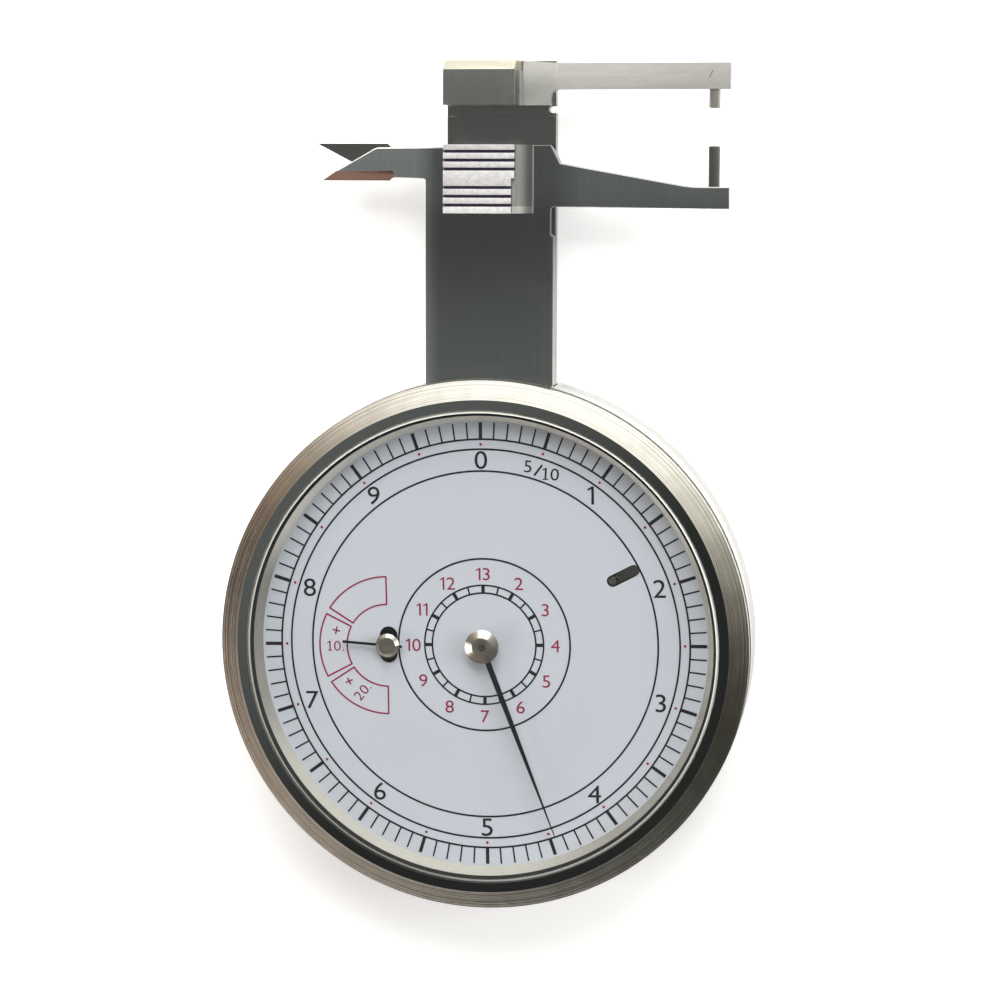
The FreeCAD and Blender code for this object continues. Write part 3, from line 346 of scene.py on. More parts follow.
class SharedEffects:
    """Node groups that several materials use, each built once."""

    def __init__(self) -> None:
        """Build every group."""
        self.turning = self._turning()
        self.brushing = self._brushing()
        self.handling = self._handling()

    @staticmethod
    def _tree(name: str, inputs: dict[str, tuple[str, object]], outputs: dict[str, str]) -> bpy.types.NodeTree:
        """Empty group with named sockets.

        Args:
            name: Name of the group.
            inputs: Socket kind and default value by name.
            outputs: Socket kind by name.

        Returns:
            The node tree.
        """
        tree = bpy.data.node_groups.new(name, "ShaderNodeTree")
        for label, (kind, value) in inputs.items():
            socket = tree.interface.new_socket(name=label, in_out="INPUT", socket_type="NodeSocket" + kind)
            if value is not None:
                socket.default_value = value
        for label, kind in outputs.items():
            tree.interface.new_socket(name=label, in_out="OUTPUT", socket_type="NodeSocket" + kind)
        return tree

    def _turning(self) -> bpy.types.NodeTree:
        """Fine rings that a lathe leaves about the Z axis."""
        tree = self._tree(
            "turned_rings",
            {"Place": ("Vector", None), "Rings per mm": ("Float", 4.0)},
            {"Shade": "Float", "Height": "Float"},
        )
        graph = Graph(tree)
        given = graph.node("NodeGroupInput")
        flat = graph.vector("MULTIPLY", given.outputs["Place"], (1.0, 1.0, 0.0))
        radius = graph.vector("LENGTH", flat)
        across = graph.math("MULTIPLY", radius, given.outputs["Rings per mm"])
        broad = graph.noise(across, 1.0, 2.0, "1D")
        fine = graph.noise(across, 3.7, 3.0, "1D")
        shade = graph.math("MULTIPLY_ADD", broad, 0.6, graph.math("MULTIPLY", fine, 0.4))
        result = graph.node("NodeGroupOutput")
        graph.feed(result.inputs["Shade"], shade)
        graph.feed(result.inputs["Height"], shade)
        return tree

    def _brushing(self) -> bpy.types.NodeTree:
        """Straight fine lines, long along the direction where Stretch is small."""
        tree = self._tree(
            "brushed_lines",
            {"Place": ("Vector", None), "Stretch": ("Vector", (8.0, 0.15, 8.0))},
            {"Shade": "Float", "Height": "Float"},
        )
        graph = Graph(tree)
        given = graph.node("NodeGroupInput")
        drawn = graph.vector("MULTIPLY", given.outputs["Place"], given.outputs["Stretch"])
        broad = graph.noise(drawn, 0.35, 2.0)
        fine = graph.noise(drawn, 1.6, 4.0)
        shade = graph.math("MULTIPLY_ADD", broad, 0.45, graph.math("MULTIPLY", fine, 0.55))
        result = graph.node("NodeGroupOutput")
        graph.feed(result.inputs["Shade"], shade)
        graph.feed(result.inputs["Height"], shade)
        return tree

    def _handling(self) -> bpy.types.NodeTree:
        """Faint smudges and dull places where the gauge is touched."""
        tree = self._tree(
            "handling_marks",
            {"Place": ("Vector", None), "Scale": ("Float", 0.2), "Amount": ("Float", 0.1)},
            {"Dullness": "Float", "Shade": "Float"},
        )
        graph = Graph(tree)
        given = graph.node("NodeGroupInput")
        cloud = graph.node("ShaderNodeTexNoise")
        graph.feed(cloud.inputs["Vector"], given.outputs["Place"])
        graph.feed(cloud.inputs["Scale"], given.outputs["Scale"])
        graph.feed(cloud.inputs["Detail"], 4.0)
        smudge = graph.spread(cloud.outputs["Fac"], 0.4, 0.75)
        result = graph.node("NodeGroupOutput")
        graph.feed(result.inputs["Dullness"], graph.math("MULTIPLY", smudge, given.outputs["Amount"]))
        graph.feed(result.inputs["Shade"], smudge)
        return tree


@dataclass(frozen=True)
class SteelFinish:
    """Bare metal with fine tool lines and faint handling marks."""

    name: str
    colour: Colour = (0.56, 0.57, 0.56)
    roughness: float = 0.25
    grain: Grain = Grain.UPRIGHT
    relief: float = 0.002
    contrast: float = 0.12
    smudges: float = 0.06
    metallic: float = 1.0

    def lines(self, graph: Graph, effects: SharedEffects, place: bpy.types.NodeSocket) -> bpy.types.Node:
        """The tool lines of this finish as a placed group node."""
        made = graph.node("ShaderNodeGroup")
        made.node_tree = effects.turning if self.grain is Grain.TURNED else effects.brushing
        graph.feed(made.inputs["Place"], place)
        if self.grain is Grain.UPRIGHT:
            made.inputs["Stretch"].default_value = (9.0, 0.12, 9.0)
        elif self.grain is Grain.LEVEL:
            made.inputs["Stretch"].default_value = (0.25, 9.0, 9.0)
        elif self.grain is Grain.ROUGH:
            made.inputs["Stretch"].default_value = (7.0, 7.0, 7.0)
        return made

    def zoned(self, graph: Graph, place: bpy.types.NodeSocket, colour: object) -> object:
        """The colour with this piece's lighter and darker places, painted light and shade or real marks as each
        finish gives them; plain unless a finish adds them.
        """
        return colour

    def zoned_roughness(self, graph: Graph, place: bpy.types.NodeSocket, roughness: object) -> object:
        """The roughness with this piece's own duller places."""
        return roughness

    def build(self, effects: SharedEffects) -> bpy.types.Material:
        """Material of this finish.

        Args:
            effects: The shared node groups.

        Returns:
            The material.
        """
        material, graph, shader = new_material(self.name)
        place = graph.place()
        lines = self.lines(graph, effects, place)
        marks = graph.node("ShaderNodeGroup")
        marks.node_tree = effects.handling
        graph.feed(marks.inputs["Place"], place)
        marks.inputs["Amount"].default_value = self.smudges
        dark = tuple(c * (1 - self.contrast) for c in self.colour)
        light = tuple(min(1.0, c * (1 + self.contrast)) for c in self.colour)
        toned = graph.blend(lines.outputs["Shade"], dark, light)
        graph.feed(shader.inputs["Base Color"], self.zoned(graph, place, toned))
        rough = graph.math("MULTIPLY_ADD", lines.outputs["Shade"], 0.1, self.roughness - 0.05)
        rough = graph.math("ADD", rough, marks.outputs["Dullness"])
        graph.feed(shader.inputs["Roughness"], self.zoned_roughness(graph, place, rough))
        shader.inputs["Metallic"].default_value = self.metallic
        add_relief(graph, shader, lines.outputs["Height"], self.relief)
        return material


@dataclass(frozen=True)
class SlideFinish(SteelFinish):
    """Steel of the slide, with painted reflection that lightens the jaw, the arm and both ends, painted shade over
    the shoulder, and a warm tint on the jaw's bevel.
    """

    jaw_x: float = -7.9
    arm_x: float = 8.2
    bevel_top: float = 57.4
    bevel_end: float = -11.75
    bevel_tint: Colour = (0.185, 0.105, 0.085)
    shoulder_y: float = 60.42
    shoulder_dark: float = 0.25

    def zoned(self, graph: Graph, place: bpy.types.NodeSocket, colour: object) -> object:
        """Painted reflection that lightens the ends and the left edge and darkens the middle below the grip, painted
        shade over the shoulder, and the bevel's tint.
        """
        x, y, _ = graph.parts(place)
        # Painted reflection: lighter towards the lower end, the jaw and the arm, darker just below the grip.
        along = graph.spread(y, 51.0, 33.0, 0.70, 1.25)
        above = graph.spread(y, 51.0, 56.0, 0.0, 0.25)
        jaw = graph.spread(x, self.jaw_x + 1.5, self.jaw_x - 1.5, 0.0, 0.62)
        arm = graph.spread(x, self.arm_x - 1.0, self.arm_x + 4.0, 0.0, 0.55)
        tone = graph.math("ADD", graph.math("ADD", along, above), graph.math("ADD", jaw, arm))
        # Painted light along the slide's left edge.
        tone = graph.math("MULTIPLY", tone, graph.spread(x, -5.8, -7.8, 1.0, 1.5))
        # Painted shade over the strip above the shoulder line, darkest at the left, that dims the highlight on that
        # edge.
        above_plate = graph.math("GREATER_THAN", y, self.shoulder_y)
        dark = graph.spread(x, -5.3, 2.0, self.shoulder_dark, 0.55)
        tone = graph.math("MULTIPLY", tone, graph.spread(above_plate, 0.0, 1.0, 1.0, dark))
        toned = graph.scaled(colour, tone)
        low = graph.math("LESS_THAN", y, self.bevel_top)
        left = graph.math("LESS_THAN", x, self.bevel_end)
        return graph.blend(graph.math("MULTIPLY", low, left), toned, self.bevel_tint)


@dataclass(frozen=True)
class ArmFinish(SteelFinish):
    """Lapped face of the upper arm, darker along its lower edge and towards its end, with one small scratch, and
    painted shade on the head plate.
    """

    top: float = 70.35
    bottom: float = 67.2
    scratch_at: Corner = (26.75, 69.0)
    scratch_size: Corner = (0.07, 0.45)
    plate_end: float = 8.22
    plate_tone: float = 0.89

    def zoned(self, graph: Graph, place: bpy.types.NodeSocket, colour: object) -> object:
        """Darker towards the lower edge and the arm's end, blotches, the scratch, and painted shade on the head
        plate.
        """
        x, y, _ = graph.parts(place)
        blotch = graph.noise(graph.vector("MULTIPLY", place, (0.5, 1.6, 1.0)), 1.0, 4.0)
        shade = graph.spread(y, self.bottom - 0.6, self.top, 0.80, 1.06)
        shade = graph.math("ADD", shade, graph.math("MULTIPLY_ADD", blotch, 0.24, -0.12))
        lean = graph.math("MULTIPLY_ADD", graph.math("SUBTRACT", y, self.scratch_at[1]), -0.45, x)
        across = graph.math("ABSOLUTE", graph.math("SUBTRACT", lean, self.scratch_at[0]))
        along = graph.math("ABSOLUTE", graph.math("SUBTRACT", y, self.scratch_at[1]))
        mark = graph.math(
            "MULTIPLY", graph.math("LESS_THAN", across, self.scratch_size[0]),
            graph.math("LESS_THAN", along, self.scratch_size[1]),
        )
        shade = graph.math("MULTIPLY", shade, graph.math("MULTIPLY_ADD", mark, -0.55, 1.0))
        # Darker towards the arm's end; left of plate_end the head plate is darkened as painted shade.
        along_arm = graph.spread(x, self.plate_end, 29.0, 1.06, 0.90)
        on_plate = graph.spread(x, self.plate_end - 0.05, self.plate_end, self.plate_tone, along_arm)
        return graph.scaled(colour, graph.math("MULTIPLY", shade, on_plate))


@dataclass(frozen=True)
class BlockFinish(SteelFinish):
    """Ground block of the head with a painted highlight on its bevel and painted shade in its hollow side."""

    front_z: float = 9.41
    bevel_y: float = 69.45
    hollow_x: float = 3.46
    # Painted highlight: the bevel's pale cream stands in for the bright reflection it catches.
    bevel: Colour = (0.60, 0.585, 0.49)
    # Painted shade in the hollow, from 0.30 at its edge to painted light of 1.5 towards its foot.
    hollow: Corner = (0.30, 1.5)

    def zoned(self, graph: Graph, place: bpy.types.NodeSocket, colour: object) -> object:
        """Painted highlight on the bevel on top, and painted shade in the hollow that turns to painted light towards
        its foot.
        """
        x, y, z = graph.parts(place)
        sunk = graph.math("LESS_THAN", z, self.front_z)
        bevelled = graph.math("MULTIPLY", sunk, graph.math("GREATER_THAN", y, self.bevel_y))
        side = graph.math("MULTIPLY", sunk, graph.math("GREATER_THAN", x, self.hollow_x))
        side = graph.math("MULTIPLY", side, graph.math("SUBTRACT", 1.0, bevelled))
        hollow = graph.spread(x, self.hollow_x, self.hollow_x + 0.7, self.hollow[0], self.hollow[1])
        front = graph.blend(side, colour, graph.scaled(colour, hollow))
        return graph.blend(bevelled, front, self.bevel)


@dataclass(frozen=True)
class PinFinish(SteelFinish):
    """Lapped pins; the lower one is darkened as painted shade, so the upper one is brighter."""

    middle_y: float = 62.0
    lower_tone: float = 0.26
    upper_tone: float = 0.95

    def zoned(self, graph: Graph, place: bpy.types.NodeSocket, colour: object) -> object:
        """A tone for each of both pins, the lower pin's a painted shade."""
        _, y, _ = graph.parts(place)
        # Painted shade: the lower pin is much darker than the upper one.
        tone = graph.spread(y, self.middle_y - 1, self.middle_y + 1, self.lower_tone, self.upper_tone)
        return graph.scaled(colour, tone)


@dataclass(frozen=True)
class GripFinish(SteelFinish):
    """Blasted ridges with painted shade in the grooves, and a smoother hollow side with painted shade and a painted
    highlight along its lip.
    """

    pad_top: float = 9.43
    groove_from: float = 0.07
    groove_to: float = 0.9
    left_wall: float = -5.19
    bottom_wall: float = 52.40
    # Painted shade: dark violet for the groove bottoms.
    groove_colour: Colour = (0.088, 0.073, 0.125)
    hollow_x: float = 3.47
    hollow_end: float = 5.45
    low_half_y: float = 56.52
    lip_y: float = 53.2
    # Painted shade: dark grey for the hollow side.
    hollow_colour: Colour = (0.20, 0.205, 0.19)
    line_colour: Colour = (0.26, 0.26, 0.24)

    def side(self, graph: Graph, place: bpy.types.NodeSocket) -> bpy.types.NodeSocket:
        """One on the hollow side, which starts further left on the lower half."""
        x, y, z = graph.parts(place)
        edge = graph.spread(y, self.low_half_y - 0.02, self.low_half_y + 0.02, self.hollow_x - 0.4, self.hollow_x)
        beyond = graph.math("GREATER_THAN", x, edge)
        sunk = graph.math("LESS_THAN", z, self.pad_top - 0.02)
        return graph.math("MULTIPLY", beyond, sunk)

    def zoned(self, graph: Graph, place: bpy.types.NodeSocket, colour: object) -> object:
        """Painted shade in the grooves, speckled ridges, and the hollow side's painted shade with a painted highlight
        along its lip.
        """
        x, y, z = graph.parts(place)
        depth = graph.math("SUBTRACT", self.pad_top, z)
        speckle = graph.spread(graph.noise(place, 2.6, 2.0), 0.36, 0.64, 0.87, 1.03)
        speckle = graph.math("MULTIPLY", speckle, graph.spread(y, 53.0, 58.0, 1.05, 1.0))
        ridge = graph.scaled(colour, speckle)
        # Painted shade in the grooves below the ridges.
        groove = graph.spread(depth, self.groove_from, self.groove_from + 0.10)
        groove = graph.math("MULTIPLY", groove, graph.math("LESS_THAN", depth, self.groove_to))
        groove = graph.math("MULTIPLY", groove, graph.math("GREATER_THAN", x, self.left_wall))
        groove = graph.math("MULTIPLY", groove, graph.math("GREATER_THAN", y, self.bottom_wall))
        ridged = graph.blend(groove, ridge, self.groove_colour)
        # Painted shade across the hollow side, lightest at its left edge, with a painted highlight at its lower end
        # below lip_y and a lighter line along the rim.
        fall = graph.spread(x, self.hollow_x, self.hollow_end - 0.5, 1.55, 0.42)
        lip = graph.spread(y, self.lip_y - 0.06, self.lip_y + 0.06, 1.7, 1.0)
        hollow = graph.scaled(self.hollow_colour, graph.math("MULTIPLY", fall, lip))
        rim = graph.math("GREATER_THAN", x, self.hollow_end - 0.13)
        hollow = graph.blend(rim, hollow, self.line_colour)
        return graph.blend(self.side(graph, place), ridged, hollow)

    def zoned_roughness(self, graph: Graph, place: bpy.types.NodeSocket, roughness: object) -> object:
        """The hollow side is a little smoother than the ridges."""
        return graph.math("MULTIPLY_ADD", self.side(graph, place), -0.06, roughness)


@dataclass(frozen=True)
class BezelFinish:
    """Turned ring: lined cone outside, polished land with painted reflection, satin wall inside with painted light
    and shade.
    """

    name: str = "bezel_steel"
    land_inner: float = 28.9
    land_outer: float = 30.1
    cone_colour: Colour = (0.62, 0.61, 0.57)
    land_colour: Colour = (0.42, 0.43, 0.42)
    wall_colour: Colour = (0.43, 0.42, 0.375)

    def build(self, effects: SharedEffects) -> bpy.types.Material:
        """Material of the bezel, zoned by its distance from the axis."""
        material, graph, shader = new_material(self.name)
        place = graph.place()
        x, y, _ = graph.parts(place)
        radius = graph.vector("LENGTH", graph.vector("MULTIPLY", place, (1.0, 1.0, 0.0)))
        rings = graph.node("ShaderNodeGroup")
        rings.node_tree = effects.turning
        graph.feed(rings.inputs["Place"], place)
        rings.inputs["Rings per mm"].default_value = 5.0
        outside = graph.spread(radius, self.land_outer - 0.03, self.land_outer + 0.03)
        inside = graph.spread(radius, self.land_inner - 0.05, self.land_inner, 1.0, 0.0)
        line = graph.spread(rings.outputs["Shade"], 0.36, 0.62)
        broken = graph.noise(graph.vector("MULTIPLY", place, (0.35, 0.35, 0.0)), 1.0, 2.0)
        strength = graph.spread(broken, 0.3, 0.7, 0.55, 1.0)
        line = graph.math("MULTIPLY", line, strength)
        cone = graph.blend(line, tuple(c * 0.72 for c in self.cone_colour), tuple(c * 1.25 for c in self.cone_colour))
        # Painted reflection on the land: lighter towards the top left, darker towards the bottom right.
        lean = graph.math("MULTIPLY_ADD", y, 1.0, graph.math("MULTIPLY", x, -0.8))
        land_painted_reflection = graph.spread(lean, -14.0, 34.0, 0.27, 1.25)
        colour = graph.blend(outside, graph.scaled(self.land_colour, land_painted_reflection), cone)
        # Painted light and shade on the inner wall: lighter towards the top, darker at the lower right and on the
        # left.
        painted_shade_right_low = graph.math("MULTIPLY", graph.spread(x, 4.0, 18.0), graph.spread(y, 4.0, -10.0))
        painted_shade_left = graph.math("MULTIPLY", graph.spread(x, -12.0, -24.0), graph.spread(y, -16.0, -6.0))
        painted_shade_left = graph.math("MULTIPLY", painted_shade_left, graph.spread(y, 15.0, 7.0))
        wall_painted_light_and_shade = graph.math("MULTIPLY_ADD", painted_shade_right_low, -0.36, graph.spread(y, 6.0, 18.0, 1.08, 2.1))
        wall_painted_light_and_shade = graph.math("MULTIPLY_ADD", painted_shade_left, -0.42, wall_painted_light_and_shade)
        grooves = graph.math("MULTIPLY_ADD", rings.outputs["Shade"], 0.2, 0.9)
        wall = graph.scaled(self.wall_colour, graph.math("MULTIPLY", grooves, wall_painted_light_and_shade))
        graph.feed(shader.inputs["Base Color"], graph.blend(inside, colour, wall))
        rough = graph.math("MULTIPLY_ADD", outside, 0.13, 0.07)
        graph.feed(shader.inputs["Roughness"], graph.math("MULTIPLY_ADD", inside, 0.38, rough))
        graph.feed(shader.inputs["Metallic"], graph.math("MULTIPLY_ADD", inside, -0.65, 1.0))
        add_relief(graph, shader, graph.math("MULTIPLY", rings.outputs["Shade"], outside), 0.02)
        return material


@dataclass(frozen=True)
class GroundEdgeFinish:
    """Ground bevel of the crystal, with painted light on the side away from the lamp and painted shade on the side
    towards it.
    """

    name: str = "ground_glass_edge"
    lit: Colour = (0.96, 0.96, 0.93)
    unlit: Colour = (0.66, 0.66, 0.62)

    def build(self, effects: SharedEffects) -> bpy.types.Material:
        """Material of the bevel."""
        material, graph, shader = new_material(self.name)
        place = graph.place()
        x, y, _ = graph.parts(place)
        # Painted light: lighter towards the lower right, darker towards the upper left.
        away = graph.math("SUBTRACT", graph.math("MULTIPLY", x, 0.7), y)
        share = graph.spread(away, -20.0, 20.0)
        rings = graph.node("ShaderNodeGroup")
        rings.node_tree = effects.turning
        graph.feed(rings.inputs["Place"], place)
        rings.inputs["Rings per mm"].default_value = 7.0
        shade = graph.math("MULTIPLY_ADD", rings.outputs["Shade"], 0.7, 0.65)
        graph.feed(shader.inputs["Base Color"], graph.scaled(graph.blend(share, self.unlit, self.lit), shade))
        shader.inputs["Roughness"].default_value = 0.45
        add_relief(graph, shader, rings.outputs["Height"], 0.004)
        return material


@dataclass(frozen=True)
class PaintFinish:
    """Enamel, ink, rubber or another coat that isn't metal."""

    name: str
    colour: Colour
    roughness: float = 0.4
    variation: float = 0.03
    relief: float = 0.002
    grain_scale: float = 2.0
    coat: float = 0.0
    shine: float = 0.5

    def build(self, effects: SharedEffects) -> bpy.types.Material:
        """Material of this coat."""
        material, graph, shader = new_material(self.name)
        place = graph.place()
        marks = graph.node("ShaderNodeGroup")
        marks.node_tree = effects.handling
        graph.feed(marks.inputs["Place"], place)
        marks.inputs["Scale"].default_value = self.grain_scale
        marks.inputs["Amount"].default_value = 0.08
        dark = tuple(c * (1 - self.variation) for c in self.colour)
        graph.feed(shader.inputs["Base Color"], graph.blend(marks.outputs["Shade"], self.colour, dark))
        graph.feed(shader.inputs["Roughness"], graph.math("ADD", marks.outputs["Dullness"], self.roughness))
        shader.inputs["Coat Weight"].default_value = self.coat
        shader.inputs["Specular IOR Level"].default_value = self.shine
        add_relief(graph, shader, graph.noise(place, self.grain_scale * 6, 3.0), self.relief)
        return material


@dataclass(frozen=True)
class GlassFinish:
    """Clear flat crystal that lets the lamps reach the dial."""

    name: str = "crystal_glass"
    colour: Colour = (0.985, 0.99, 0.988)

    def build(self, effects: SharedEffects) -> bpy.types.Material:
        """Glass mixed with a clear film for lamp and bounce rays."""
        material, graph, shader = new_material(self.name)
        marks = graph.node("ShaderNodeGroup")
        marks.node_tree = effects.handling
        graph.feed(marks.inputs["Place"], graph.place())
        marks.inputs["Amount"].default_value = 0.015
        graph.feed(shader.inputs["Roughness"], graph.math("MULTIPLY", marks.outputs["Dullness"], 0.5))
        shader.inputs["Base Color"].default_value = opaque(self.colour)
        shader.inputs["Transmission Weight"].default_value = 1.0
        shader.inputs["IOR"].default_value = 1.5
        path = graph.node("ShaderNodeLightPath")
        clear = graph.node("ShaderNodeBsdfTransparent")
        mixed = graph.node("ShaderNodeMixShader")
        bounce = graph.math("MAXIMUM", path.outputs["Is Shadow Ray"], path.outputs["Is Diffuse Ray"])
        graph.feed(mixed.inputs[0], bounce)
        graph.feed(mixed.inputs[1], shader.outputs["BSDF"])
        graph.feed(mixed.inputs[2], clear.outputs["BSDF"])
        output = next(n for n in graph.tree.nodes if n.type == "OUTPUT_MATERIAL")
        graph.feed(output.inputs["Surface"], mixed.outputs[0])
        return material


def new_material(name: str) -> tuple[bpy.types.Material, Graph, bpy.types.Node]:
    """Node material with a Principled shader on its output.

    Args:
        name: Plain name of the finish.

    Returns:
        The material, its graph and its shader node.
    """
    material = bpy.data.materials.new(name)
    material.use_nodes = True
    material.node_tree.nodes.clear()
    graph = Graph(material.node_tree)
    shader = graph.node("ShaderNodeBsdfPrincipled")
    output = graph.node("ShaderNodeOutputMaterial")
    graph.feed(output.inputs["Surface"], shader.outputs["BSDF"])
    return material, graph, shader


def add_relief(graph: Graph, shader: bpy.types.Node, height: bpy.types.NodeSocket, depth: float) -> None:
    """Feed a bump of a depth in millimetres to a shader's normal."""
    bump = graph.node("ShaderNodeBump")
    bump.inputs["Strength"].default_value = 1.0
    bump.inputs["Distance"].default_value = depth * MM
    graph.feed(bump.inputs["Height"], height)
    graph.feed(shader.inputs["Normal"], bump.outputs["Normal"])


class Wardrobe:
    """Every material of the gauge by a short key."""

    def __init__(self) -> None:
        """Build the materials once."""
        effects = SharedEffects()
        finishes = {
            "case": SteelFinish("case_steel", (0.66, 0.65, 0.62), 0.14, Grain.TURNED, 0.004, 0.05),
            "bezel": BezelFinish(),
            "glass": GlassFinish(),
            "ground": GroundEdgeFinish(),
            "gasket": PaintFinish("gasket_rubber", (0.03, 0.03, 0.028), 0.6),
            "enamel": PaintFinish("dial_enamel", (0.48, 0.51, 0.57), 0.34, 0.02, 0.001, 0.15, 0.15),
            "beam": SteelFinish("beam_steel", (0.42, 0.425, 0.41), 0.2, Grain.UPRIGHT, 0.0015, 0.10),
            "slide": SlideFinish("slide_steel", (0.40, 0.415, 0.41), 0.18, Grain.UPRIGHT, 0.0015, 0.12),
            "arm": ArmFinish("arm_steel", (0.53, 0.53, 0.505), 0.50, Grain.LEVEL, 0.010, 0.16, metallic=0.3),
            "block": BlockFinish("block_steel", (0.70, 0.715, 0.69), 0.26, Grain.UPRIGHT, 0.001, 0.035),
            "grip": GripFinish("grip_steel", (0.675, 0.675, 0.68), 0.60, Grain.ROUGH, 0.02, 0.06, metallic=0.25),
            "pin": PinFinish("pin_steel", (0.50, 0.50, 0.47), 0.33, Grain.LEVEL, 0.002, 0.06, metallic=0.7),
            "hub": SteelFinish("hub_steel", (0.48, 0.445, 0.385), 0.24, Grain.ROUGH, 0.0004, 0.05, 0.02),
            "setter": SteelFinish("setter_steel", (0.20, 0.20, 0.18), 0.3, Grain.ROUGH, 0.002, 0.06),
            "steel": SteelFinish("plain_steel", (0.46, 0.46, 0.43), 0.32, Grain.ROUGH, 0.002, 0.05),
            # Brass darkened as painted shade, for the movement and the counter wheel seen down the dial's slots.
            "brass": SteelFinish("plate_brass", (0.11, 0.115, 0.09), 0.38, Grain.TURNED, 0.003, 0.10),
            "gear": SteelFinish("gear_brass", (0.05, 0.047, 0.038), 0.34, Grain.TURNED, 0.003, 0.08),
            "hand": PaintFinish("hand_black", (0.008, 0.008, 0.010), 0.5, 0.1, shine=0.1),
            Ink.BLACK: PaintFinish("black_ink", (0.012, 0.012, 0.018), 0.6, 0.15, shine=0.15),
            Ink.RED: PaintFinish("red_ink", (0.24, 0.020, 0.062), 0.6, 0.12, shine=0.2),
        }
        self.materials = {key: finish.build(effects) for key, finish in finishes.items()}

    def dress(self, piece: bpy.types.Object, key: object) -> None:
        """Give a piece one material for all its faces."""
        piece.data.materials.clear()
        piece.data.materials.append(self.materials[key])


@dataclass
class SubAssembly:
    """Group of pieces that is built and dressed together."""

    frame: dict
    wardrobe: Wardrobe

    def node(self, name: str) -> bpy.types.Object:
        """The CAD node of that name."""
        return self.frame["nodes"][name]

    def body_of(self, name: str) -> str:
        """The body that carries a CAD node."""
        return self.node(name)["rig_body"]

    def slot_of(self, name: str) -> str:
        """The record's material slot of a CAD node."""
        return next(row["material_slot"] for row in self.frame["record"]["subparts"] if row["node"] == name)

    def keep(self, names: list[str], key: object) -> None:
        """Dress CAD nodes that show as they are."""
        for name in names:
            self.wardrobe.dress(self.node(name), key)
            LOG.info("%s keeps its CAD shape, finish %s", name, key)

    def stand_in(self, piece: bpy.types.Object, name: str, key: object) -> bpy.types.Object:
        """Show a finer piece instead of a CAD node, on the node's own body."""
        self.wardrobe.dress(piece, key)
        self.wardrobe.dress(self.node(name), key)
        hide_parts(name)
        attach(piece, self.body_of(name))
        LOG.info("%s stands for %s, finish %s", piece.name, name, key)
        return piece

    def refine(self, name: str, key: object, edge: float) -> bpy.types.Object:
        """Show a CAD node's merged copy with rounded edges."""
        return self.stand_in(finished_copy(self.node(name), edge), name, key)


@dataclass
class CaseUnit(SubAssembly):
    """Case, bezel, crystal and gasket."""

    corner: float = 0.06
    cone_rings: int = 13
    ring_depth: float = 0.010
    wall_foot: float = 27.45
    shelf_inner: float = 28.2
    crystal_seat: float = 28.91
    land_outer: float = 30.1
    rim_drop: float = 1.5
    crystal_radius: float = 28.9
    crystal_bevel: float = 0.35

    def build(self) -> None:
        """Build and dress every piece."""
        self.refine("case_body", "case", 0.08)
        self.bezel()
        self.crystal()
        self.keep(["crystal_gasket"], "gasket")
        self.keep(["dial_ring", "movement_plate"], "brass")
        self.keep(["plate_screws", "frame_screws"], "steel")

    def cone(self, top: float, rim: float) -> list[Corner]:
        """Corners of the lined cone from the land down to the rim."""
        steps = 2 * self.cone_rings
        corners = []
        for i in range(steps + 1):
            share = i / steps
            radius = self.land_outer + (self.rim_radius - self.land_outer) * share
            height = top - self.rim_drop * share
            sink = self.ring_depth if i % 2 else 0.0
            corners.append((radius - sink * 0.55, height - sink * 0.84))
        corners[0] = (self.land_outer + self.corner * 0.4, top - self.corner * 0.3)
        return corners

    def bezel(self) -> None:
        """Turned ring with small edge roundings and fine rings on its cone."""
        low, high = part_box("bezel")
        top, bottom = high.z / MM, low.z / MM
        self.rim_radius = high.x / MM
        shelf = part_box("crystal_gasket")[0].z / MM
        dial_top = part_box("dial")[1].z / MM
        c = self.corner
        profile = [
            (self.wall_foot, dial_top + 0.03), (self.shelf_inner, shelf), (self.crystal_seat, shelf),
            (self.crystal_seat, top - c), (self.crystal_seat + c / 3, top - c / 3),
            (self.crystal_seat + c, top), (self.land_outer - c, top),
            *self.cone(top, self.rim_radius),
            (self.rim_radius, top - self.rim_drop - c), (self.rim_radius, bottom),
            (31.61, bottom), (31.61, bottom + 1.32), (30.49, bottom + 1.32),
            (30.49, dial_top + 0.03),
        ]
        ring = lathe("turned_bezel", profile, 300)
        smooth(ring, 20)
        self.stand_in(ring, "bezel", "bezel")

    def crystal(self) -> None:
        """Flat glass with a bevelled front edge."""
        low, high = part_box("crystal")
        bottom, top = low.z / MM, high.z / MM
        inner = self.crystal_radius - self.crystal_bevel
        deselect_all()
        bpy.ops.mesh.primitive_cylinder_add(
            vertices=240, radius=self.crystal_radius * MM, depth=(top - bottom) * MM,
            location=(0, 0, (top + bottom) / 2 * MM),
        )
        glass = named("bevelled_crystal")
        settle(glass)
        edge_height = top * MM - 1e-6
        for edge in glass.data.edges:
            ends = [glass.data.vertices[i].co for i in edge.vertices]
            edge.select = all(end.z > edge_height for end in ends)
        for face in glass.data.polygons:
            face.select = False
        bpy.ops.object.mode_set(mode="EDIT")
        bpy.ops.mesh.select_mode(type="EDGE")
        bpy.ops.mesh.bevel(offset=(self.crystal_radius - inner) * MM, segments=1, affect="EDGES")
        bpy.ops.object.mode_set(mode="OBJECT")
        smooth(glass, 20)
        self.stand_in(glass, "crystal", "glass")
        glass.data.materials.append(self.wardrobe.materials["ground"])
        for face in glass.data.polygons:
            face.material_index = 1 if 0.05 < face.normal.z < 0.95 else 0


